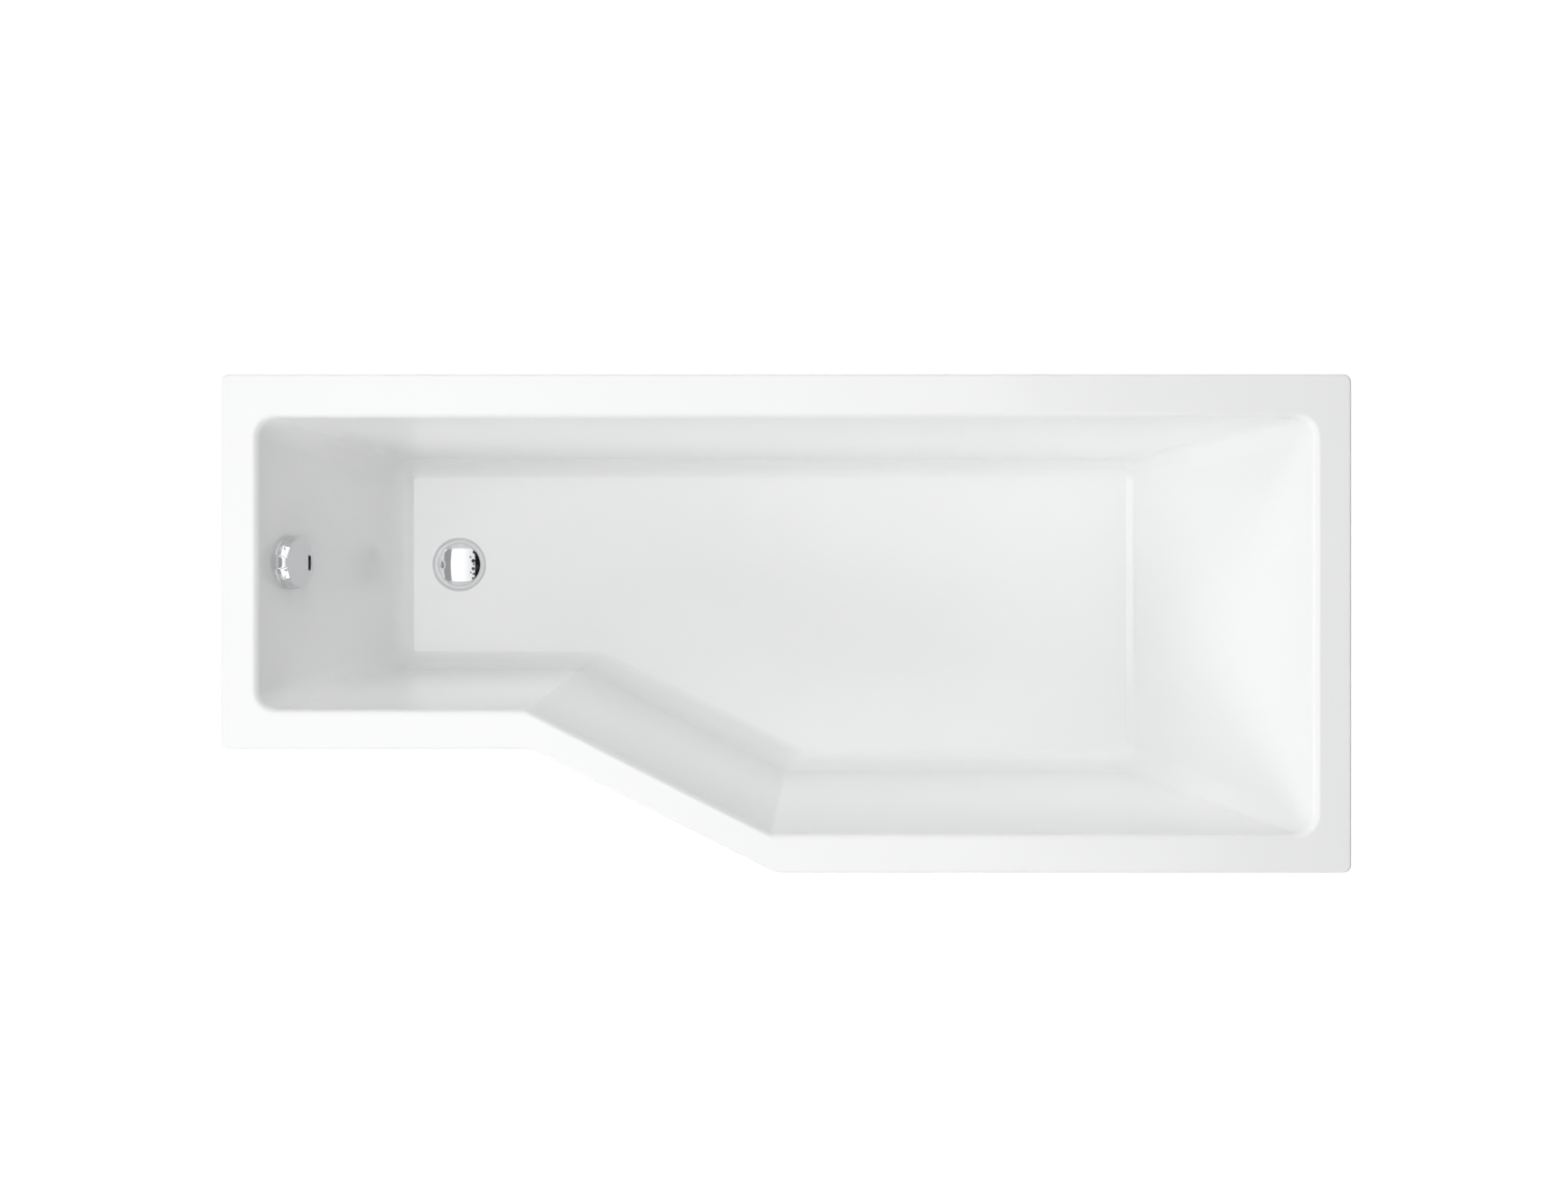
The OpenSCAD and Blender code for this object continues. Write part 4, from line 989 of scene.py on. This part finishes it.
# The side leans in with these slopes, from part of its height on and at its end.
LEAN_FROM, LEAN_NEAR, LEAN_FAR = 0.6, 0.30, 0.40
FACE_ROUND = 0.8

lean_back = Matrix.Translation(overflow) @ Matrix((
    (math.sin(wall_tilt), 0, math.cos(wall_tilt), 0),
    (0, 1, 0, 0),
    (-math.cos(wall_tilt), 0, math.sin(wall_tilt), 0),
    (0, 0, 0, 1)))


def knob_outline(back, notched=True):
    """The knob's outline, drawn in by back; the notch is at +X and the nib at -X."""
    radius = KNOB_RADIUS - back
    notch_half, notch_x = NOTCH[0] / 2 + back, KNOB_RADIUS - NOTCH[1] - back
    nib_half, nib_x = NIB[0] / 2 - back, -(KNOB_RADIUS + NIB[1] - back)
    start, end = math.asin(notch_half / radius), math.pi - math.asin(nib_half / radius)
    if notched:
        mouth = radius * math.cos(start)
        upper = [(notch_x, notch_half * t) for t in (0.0, 0.5, 0.9)]
        upper += [(notch_x + 0.05, notch_half * 0.985), (notch_x + 0.6, notch_half),
                  (mouth - 0.5, notch_half), (mouth - 0.1, notch_half + 0.12)]
    else:
        upper = [on_circle(radius, turn) for turn in steps_to(start, 7)[:-1]]
    upper += [on_circle(radius, start + (end - start) * (i + 0.3) / 64.6) for i in range(65)]
    root = -math.sqrt(radius ** 2 - nib_half ** 2)
    upper += [(root - 0.4, nib_half), (nib_x + NIB_ROUND, nib_half)]
    upper += [(nib_x + NIB_ROUND * (1 - math.sin(t)), nib_half - NIB_ROUND * (1 - math.cos(t)))
              for t in (0.39, 0.79, 1.18, 1.57)]
    upper += [(nib_x, nib_half * 0.5), (nib_x, 0.0)]
    lower = [(x, -y) for x, y in upper[-2:0:-1]]
    return upper + lower


def crowned_side(face):
    """The side leans in more and more towards the face, and ends in a small round."""
    made, back = [], 0.0
    length = KNOB_DEPTH - 1 - FACE_ROUND
    for share in steps_to(1, 16):
        made.append((back, KNOB_GAP + 1 + length * share))
        if share < LEAN_FROM:
            lean = LEAN_NEAR * share / LEAN_FROM
        else:
            lean = LEAN_NEAR + (LEAN_FAR - LEAN_NEAR) * (share - LEAN_FROM) / (1 - LEAN_FROM)
        back += lean * length / 16
    back = made[-1][0]
    start = math.atan(LEAN_FAR)
    for turn in np.linspace(start, math.pi / 2, 6)[1:]:
        made.append((back + FACE_ROUND * (math.cos(start) - math.cos(turn)),
                     face - FACE_ROUND * (1 - math.sin(turn))))
    return [*made, (made[-1][0] + 0.8, face)]


def slot_outline(grow):
    """The slot in the knob's face, grown by some millimetres: an oval with squared ends."""
    made = []
    for turn in full_turn(48):
        along, across = (math.copysign(abs(v) ** SLOT_SQUARENESS, v) for v in on_circle(1, turn))
        made.append((SLOT_PLACE + (SLOT[1] / 2 + grow) * along, (SLOT[0] / 2 + grow) * across))
    return made


def draw_knob():
    face = KNOB_GAP + KNOB_DEPTH
    behind = [(KNOB_SKIN, face - KNOB_SKIN), (KNOB_SKIN, face - KNOB_SKIN - 0.5),
              (KNOB_SKIN, KNOB_GAP + 0.4), (KNOB_SKIN - 0.4, KNOB_GAP), (0.3, KNOB_GAP),
              (0, KNOB_GAP + 0.3), (0, KNOB_GAP + 1)]
    points = []

    def ring(flat, height):
        return add_ring(points, [(x, y, height) for x, y in flat])

    body = [ring(knob_outline(back), height) for back, height in behind]
    body += [ring(knob_outline(back, height < face - NOTCH_LIP), height)
             for back, height in crowned_side(face)]
    slot = [ring(slot_outline(grow), height) for grow, height in (
        (0.7, face), (0.0, face - 0.7), (0.0, face - KNOB_SKIN))]
    faces = [quad for rings in (body, slot) for pair in zip(rings, rings[1:])
             for quad in bridge(*pair)]
    faces += cap(points, body[0], slot[-1]) + cap(points, body[-1], slot[0])
    return outward(new_piece("knob_cap", points, faces))


knob = draw_knob()
knob.data.transform(lean_back)
finish_piece(knob, "overflow_knob", smooth=35)
print("knob:", len(knob.data.polygons), "faces")

# %% [markdown]
# ## Geometry Nodes for what repeats or follows a path
#
# The hose and the cable follow a route, the feet have screw threads, and nuts, ribs and grips come
# in rows or rings. Each kind is one small node tree with named inputs. A tree is run once on an
# empty piece, and the mesh that it makes is kept, so that nothing stays live in the scene.

# %% Helpers for geometry trees
def start_tree(name, **inputs):
    """A geometry tree and its inputs, each given as a label and a socket type."""
    tree = bpy.data.node_groups.new(name, "GeometryNodeTree")
    for label, kind in {"Geometry": "Geometry", **inputs, "Material": "Material"}.items():
        tree.interface.new_socket(label, in_out="INPUT", socket_type="NodeSocket" + kind)
    tree.interface.new_socket("Geometry", in_out="OUTPUT", socket_type="NodeSocketGeometry")
    return tree, tree.nodes.new("NodeGroupInput").outputs


def end_tree(tree, given, geometry):
    """Closes a tree: its instances become real and take the material."""
    real = add_node(tree, "GeometryNodeRealizeInstances", {"Geometry": geometry})
    paint = add_node(tree, "GeometryNodeSetMaterial", {
        "Geometry": real, "Material": given["Material"]})
    add_node(tree, "NodeGroupOutput", {"Geometry": paint})
    return tree


def run_tree(tree, name, slot, **values):
    """Makes a piece by running a tree on an empty mesh; values are given by the inputs' labels."""
    piece = new_piece(name, [], [])
    values["Material"] = finishes[slot]
    modifier = piece.modifiers.new("nodes", "NODES")
    modifier.node_group = tree
    for item in tree.interface.items_tree:
        if item.item_type == "SOCKET" and item.in_out == "INPUT" and item.name in values:
            modifier[item.identifier] = values[item.name]
    return keep_modified(piece)


# %% [markdown]
# ### A tube along a route
#
# The route is resampled into short steps and swept with a circle. The circle's scale follows the
# distance along the route: a cosine wave gives the ribs of the hose, and stops at the plain cuffs.
# With a rib of zero the same tree makes the smooth cable.

# %% Tree: tube along a route
def tube_tree():
    tree, given = start_tree("tube_along_route", Route="Object", Radius="Float", Rib="Float",
                             Pitch="Float", Cuff="Float", Step="Float", Sides="Int")
    calc = functools.partial(add_math, tree)
    route = add_node(tree, "GeometryNodeObjectInfo", {"Object": given["Route"]})
    steps = add_node(tree, "GeometryNodeResampleCurve", {
        "Curve": route.outputs["Geometry"], "Length": given["Step"]}, mode="LENGTH")
    ring = add_node(tree, "GeometryNodeCurvePrimitiveCircle", {
        "Radius": 1.0, "Resolution": given["Sides"]})
    along = add_node(tree, "GeometryNodeSplineParameter").outputs["Length"]
    whole = add_node(tree, "GeometryNodeSplineLength")
    past_cuff = calc("SUBTRACT", along, given["Cuff"])
    turns = calc("DIVIDE", past_cuff, given["Pitch"])
    wave = calc("COSINE", calc("MULTIPLY", turns, 2 * math.pi))
    rise = calc("MULTIPLY_ADD", wave, -0.5, 0.5)
    to_end = calc("SUBTRACT", calc("SUBTRACT", whole, given["Cuff"]), along)
    inside = calc("MULTIPLY", calc("GREATER_THAN", past_cuff, 0.0), calc("GREATER_THAN", to_end, 0.0))
    stand = calc("MULTIPLY", calc("MULTIPLY", rise, inside), given["Rib"])
    sweep = add_node(tree, "GeometryNodeCurveToMesh", {
        "Curve": steps, "Profile Curve": ring, "Fill Caps": True,
        "Scale": calc("ADD", stand, given["Radius"])})
    return end_tree(tree, given, sweep)


# %% [markdown]
# ### A screw thread
#
# A thread is a cylinder whose wall moves in and out. At any point, the height counted in turns,
# less the angle round the axis, says how far the point is through one ridge, and a triangle wave of
# that gives the ridge. Near the top the rod is drawn in, which makes the chamfered end.

# %% Tree: threaded rod
def thread_tree():
    tree, given = start_tree("threaded_rod", Length="Float", Radius="Float", Depth="Float",
                             Pitch="Float", Rows="Int", Sides="Int")
    calc = functools.partial(add_math, tree)
    rod = add_node(tree, "GeometryNodeMeshCylinder", {
        "Depth": given["Length"], "Radius": given["Radius"], "Side Segments": given["Rows"],
        "Vertices": given["Sides"]})
    where = add_node(tree, "GeometryNodeInputPosition")
    x, y, z = add_node(tree, "ShaderNodeSeparateXYZ", {0: where}).outputs
    turned = calc("DIVIDE", calc("ARCTAN2", y, x), 2 * math.pi)
    turns = calc("SUBTRACT", calc("DIVIDE", z, given["Pitch"]), turned)
    ridge = calc("PINGPONG", calc("FRACT", turns), 0.5)
    depth = calc("MULTIPLY", calc("MULTIPLY", ridge, 2.0), given["Depth"])
    to_top = calc("SUBTRACT", calc("MULTIPLY", given["Length"], 0.5), z)
    fade = calc("MAXIMUM", calc("SUBTRACT", given["Depth"], to_top), 0.0)
    inwards = calc("MAXIMUM", depth, fade)
    factor = calc("SUBTRACT", 1.0, calc("DIVIDE", inwards, given["Radius"]))
    joined = add_node(tree, "ShaderNodeCombineXYZ", {
        "X": calc("MULTIPLY", x, factor), "Y": calc("MULTIPLY", y, factor), "Z": z})
    move = add_node(tree, "GeometryNodeSetPosition", {"Geometry": rod, "Position": joined})
    return end_tree(tree, given, move)


# %% [markdown]
# ### Copies in a ring, and copies at places
#
# One tree turns copies of an item round the upright axis, for ribs and grips. The other sets a copy
# of an item on every vertex of another object, for nuts.

# %% Trees: ring of copies, copies at places
def ring_tree():
    tree, given = start_tree("ring_of_copies", Item="Object", Count="Int")
    item = add_node(tree, "GeometryNodeObjectInfo", {"Object": given["Item"]})
    dots = add_node(tree, "GeometryNodePoints", {"Count": given["Count"]})
    number = add_node(tree, "GeometryNodeInputIndex")
    step = add_math(tree, "DIVIDE", 2 * math.pi, given["Count"])
    turn = add_node(tree, "ShaderNodeCombineXYZ", {"Z": add_math(tree, "MULTIPLY", number, step)})
    copies = add_node(tree, "GeometryNodeInstanceOnPoints", {
        "Points": dots, "Instance": item.outputs["Geometry"], "Rotation": turn})
    return end_tree(tree, given, copies)


def places_tree():
    tree, given = start_tree("copies_at_places", Item="Object", Places="Object")
    item = add_node(tree, "GeometryNodeObjectInfo", {"Object": given["Item"]})
    places = add_node(tree, "GeometryNodeObjectInfo", {"Object": given["Places"]})
    copies = add_node(tree, "GeometryNodeInstanceOnPoints", {
        "Points": places.outputs["Geometry"], "Instance": item.outputs["Geometry"]})
    return end_tree(tree, given, copies)


tube = tube_tree()
thread = thread_tree()
ring_copies = ring_tree()
place_copies = places_tree()
print("trees:", ", ".join(group.name for group in bpy.data.node_groups))

# %% [markdown]
# ## The overflow's hose and the plug's cable
#
# The hose runs straight down behind the end wall, bends once and comes in level at the waste. The
# cable leaves the overflow's gland sideways and sweeps round it to the lever's housing: a single
# curve set by its two ends and two handles. Each end of the cable has a crimped sleeve.

# %% Sweep the hose and the cable
HOSE_START = Vector((-768.463, 92, 439.012)) * MM
HOSE_END = Vector((-597, 92, 134)) * MM
HOSE_BEND = 50 * MM
HOSE_CUFF = 12 * MM
HOSE_RADIUS = 15
HOSE_RIB = 2
HOSE_RIBS = 43
CABLE_FROM = Vector((-794.986, 135, 503.409)) * MM
CABLE_TO = Vector((-548, 131, 110)) * MM
# How far the cable runs straight on from each end, as a share of the distance between them.
CABLE_HANDLES = (0.2, 0.32)
CABLE_RADIUS = 3.5
SLEEVE = 0.25


def hose_route():
    def away(turn):
        return Vector((math.cos(turn), 0, math.sin(turn))) * HOSE_BEND

    down = Vector((math.sin(wall_tilt), 0, -math.cos(wall_tilt)))
    knee = HOSE_START + down * ((HOSE_START.z - HOSE_END.z) / math.cos(wall_tilt))
    rest = math.pi / 2 - wall_tilt
    middle = knee - down * (HOSE_BEND * math.tan(rest / 2)) + away(wall_tilt)
    return [HOSE_START, *(middle - away(wall_tilt + part) for part in steps_to(rest, 40)), HOSE_END]


def cable_route():
    span = (CABLE_TO - CABLE_FROM).length
    first = CABLE_FROM + Vector((0, CABLE_HANDLES[0] * span, 0))
    second = CABLE_TO - Vector((CABLE_HANDLES[1] * span, 0, 0))
    return [(1 - t) ** 3 * CABLE_FROM + 3 * (1 - t) ** 2 * t * first
            + 3 * (1 - t) * t * t * second + t ** 3 * CABLE_TO for t in steps_to(1, 120)]


def route_length(points):
    return sum((b - a).length for a, b in zip(points, points[1:]))


def make_route(name, points):
    data = bpy.data.curves.new(name, "CURVE")
    data.dimensions = "3D"
    line = data.splines.new("POLY")
    line.points.add(len(points) - 1)
    for target, point in zip(line.points, points):
        target.co = (*point, 1)
    return add_object(name, data)


def sweep_tube(name, points, radius, rib=0.0, pitch=1.0, cuff=0.0, step=1.0, sides=20,
               slot="black_plastic"):
    route = make_route(name + "_route", points)
    made = run_tree(tube, name, slot, Route=route, Radius=radius * MM, Rib=rib * MM, Pitch=pitch,
                    Cuff=cuff, Step=step * MM, Sides=sides)
    bpy.data.objects.remove(route)
    return outward(made)


hose_points = hose_route()
hose_pitch = (route_length(hose_points) - 2 * HOSE_CUFF) / HOSE_RIBS
hose = sweep_tube("hose", hose_points, HOSE_RADIUS, HOSE_RIB, hose_pitch, HOSE_CUFF, step=0.9,
                  sides=40, slot="white_plastic")
finish_piece(hose, "overflow_hose", smooth=60)

cable_points = cable_route()
cable = sweep_tube("cable", cable_points, CABLE_RADIUS - SLEEVE, step=5)
sleeves = [sweep_tube("sleeve", end, CABLE_RADIUS, step=1.5)
           for end in (cable_points[:6], cable_points[-6:])]
finish_piece(join_pieces(cable, *sleeves), "control_cable", smooth=50)
print("hose", round(route_length(hose_points), 4), "m, cable",
      round(route_length(cable_points), 4), "m")

# %% [markdown]
# ## The feet
#
# Each foot is a ribbed plastic pad, moulded round the end of a threaded stud, and the stud is
# clamped to its rail between two nuts. The nuts are hexagons with their corners turned off.

# %% Make the feet
STUD_RADIUS = 5
STUD_PITCH = 1.5
STUD_SIDES = 28
THREAD_DEPTH = 0.75
NUT_CORNER = 9.8
NUT_HEIGHT = 8
NUT_STEPS = 72
PAD_RADIUS, PAD_HEIGHT, PAD_BOSS = 28, 8, 22
PAD_FINS = 8


def hex_nut():
    flat = NUT_CORNER * math.cos(math.pi / 6)
    turned_to = flat + 0.35
    bore = STUD_RADIUS + 0.1
    columns = []
    for turn in full_turn(NUT_STEPS):
        away = flat / math.cos((turn + math.pi / 6) % (math.pi / 3) - math.pi / 6)
        cut = max(0.0, away - turned_to) * math.tan(math.radians(30))
        shoulder = min(away, turned_to)
        section = [(bore, 0), (shoulder, 0), (away, cut), (away, NUT_HEIGHT - cut),
                   (shoulder, NUT_HEIGHT), (bore, NUT_HEIGHT)]
        columns.append([(*on_circle(radius, turn), height) for radius, height in section])
    points = []
    rows = [add_ring(points, row) for row in zip(*columns)]
    faces = [quad for k, row in enumerate(rows) for quad in bridge(row, rows[(k + 1) % len(rows)])]
    return outward(new_piece("nut", points, faces))


def pad_profile():
    """Half the pad's section: two ribs underneath, a rounded rim, and a boss round the stud."""
    rim, top, boss, stud = PAD_RADIUS, PAD_HEIGHT, PAD_BOSS, STUD_RADIUS
    return [(0, 1.2), (10, 1.2), (11, 0), (16, 0), (16.8, 1.0), (18, 1.0), (18.8, 0), (rim - 2, 0),
            *bent((rim - 2, 2), 2, -70, 0, 4), (rim, top - 3),
            *bent((rim - 1.2, top - 3), 1.2, 10, 80, 4), (rim - 5, top - 0.6), (stud + 8, top + 2),
            (stud + 5.6, top + 4), (stud + 5, boss - 0.8), (stud + 4.2, boss), (stud + 0.1, boss),
            (stud + 0.1, top + 4), (0, top + 4)]


def pad_fin():
    """An upright fin from the boss to the pad's rim: a thin slice with five corners."""
    corners = [(9.4, PAD_HEIGHT + 1.5), (25.5, PAD_HEIGHT - 2), (25.5, PAD_HEIGHT - 0.2),
               (10, PAD_BOSS - 3), (9.4, PAD_BOSS - 3)]
    points = []
    near, far = (add_ring(points, [(x, y, z) for x, z in corners]) for y in (-0.9, 0.9))
    fin = new_piece("fin", points, [near, far[::-1], *bridge(near, far)])
    return round_edges(outward(fin), 0.35)


def make_pad(number, centre):
    body = lathe("pad_%d_body" % number, pad_profile(), steps=72)
    fin = pad_fin()
    fins = run_tree(ring_copies, "fins", "black_plastic", Item=fin, Count=PAD_FINS)
    bpy.data.objects.remove(fin)
    pad = join_pieces(body, fins)
    pad.data.transform(Matrix.Translation((centre.x, centre.y, 0)))
    finish_piece(pad, "pad_%d" % number, smooth=35)


def make_stud(number, low, high):
    node = "stud_%d" % number
    rows = int((high.z - low.z) / (STUD_PITCH * MM / 5))
    stud = run_tree(thread, node + "_thread", slot_of[node], Length=high.z - low.z,
                    Radius=STUD_RADIUS * MM, Depth=THREAD_DEPTH * MM, Pitch=STUD_PITCH * MM,
                    Rows=rows, Sides=STUD_SIDES)
    stud.data.transform(Matrix.Translation((low + high) / 2))
    finish_piece(outward(stud), node, smooth=75)


def make_nuts(number, centre, nut):
    node = "nuts_%d" % number
    low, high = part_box(node)
    heights = (low.z, high.z - NUT_HEIGHT * MM)
    places = new_piece("places", [(centre.x, centre.y, height) for height in heights], [])
    nuts = run_tree(place_copies, node + "_pair", slot_of[node], Item=nut, Places=places)
    bpy.data.objects.remove(places)
    finish_piece(outward(nuts), node, smooth=20)


nut = hex_nut()
for number in range(1, 6):
    low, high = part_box("stud_%d" % number)
    centre = (low + high) / 2
    make_pad(number, centre)
    make_stud(number, low, high)
    make_nuts(number, centre, nut)
bpy.data.objects.remove(nut)
print("feet made:", number)

# %% [markdown]
# ## The pieces that only need softer edges
#
# The board, the battens, the rails and the plumbing already have the right shape in the frame. No
# real edge is perfectly sharp, though, and a sharp one catches no light. So each is copied, its
# flat faces are joined again, and its edges get a small round, wide for timber and fine for screws.

# %% Soften the remaining pieces
# Each piece and the width of its rounds, in millimetres.
SOFT_EDGES = {
    "base_board": 0.8, "batten_back": 0.8, "batten_head_end": 0.8, "batten_wide_front": 0.8,
    "batten_angled": 0.8, "batten_narrow_front": 0.8, "batten_waste_end": 0.8,
    "wall_bracket_left": 0.4, "wall_bracket_right": 0.4, "rail_waste_end": 0.5,
    "rail_head_end": 0.5, "centre_bracket": 0.5, "wall_bracket_screws": 0.25, "rail_screws": 0.25,
    "plug_stem": 0.3, "waste_body": 0.5, "lift_lever": 0.4, "lever_cover": 0.4,
    "cover_screws": 0.2, "trap_nut_top": 0.5, "trap_bend": 0.3, "trap_nut_side": 0.5,
    "outlet_elbow": 0.3, "knob_spindle": 0.3, "overflow_plate": 0.4, "plate_screws": 0.2,
    "overflow_body": 0.5, "hose_nut_top": 0.5, "hose_nut_bottom": 0.5, "plug_seal": 0.2,
    "flange_gasket": 0.2, "body_gasket": 0.3, "trap_washers": 0.2, "overflow_gasket": 0.4,
}


def soften(node, width_mm):
    piece = add_object(node + "_soft", nodes[node].data.copy())
    with editing(piece.data) as work:
        bmesh.ops.remove_doubles(work, verts=work.verts, dist=2e-6)
        bmesh.ops.dissolve_limit(work, angle_limit=math.radians(0.3),
                                 verts=work.verts, edges=work.edges)
    finish_piece(round_edges(piece, width_mm, 40), node, smooth=32)


for node, width in SOFT_EDGES.items():
    soften(node, width)
print("softened:", len(SOFT_EDGES), "pieces")
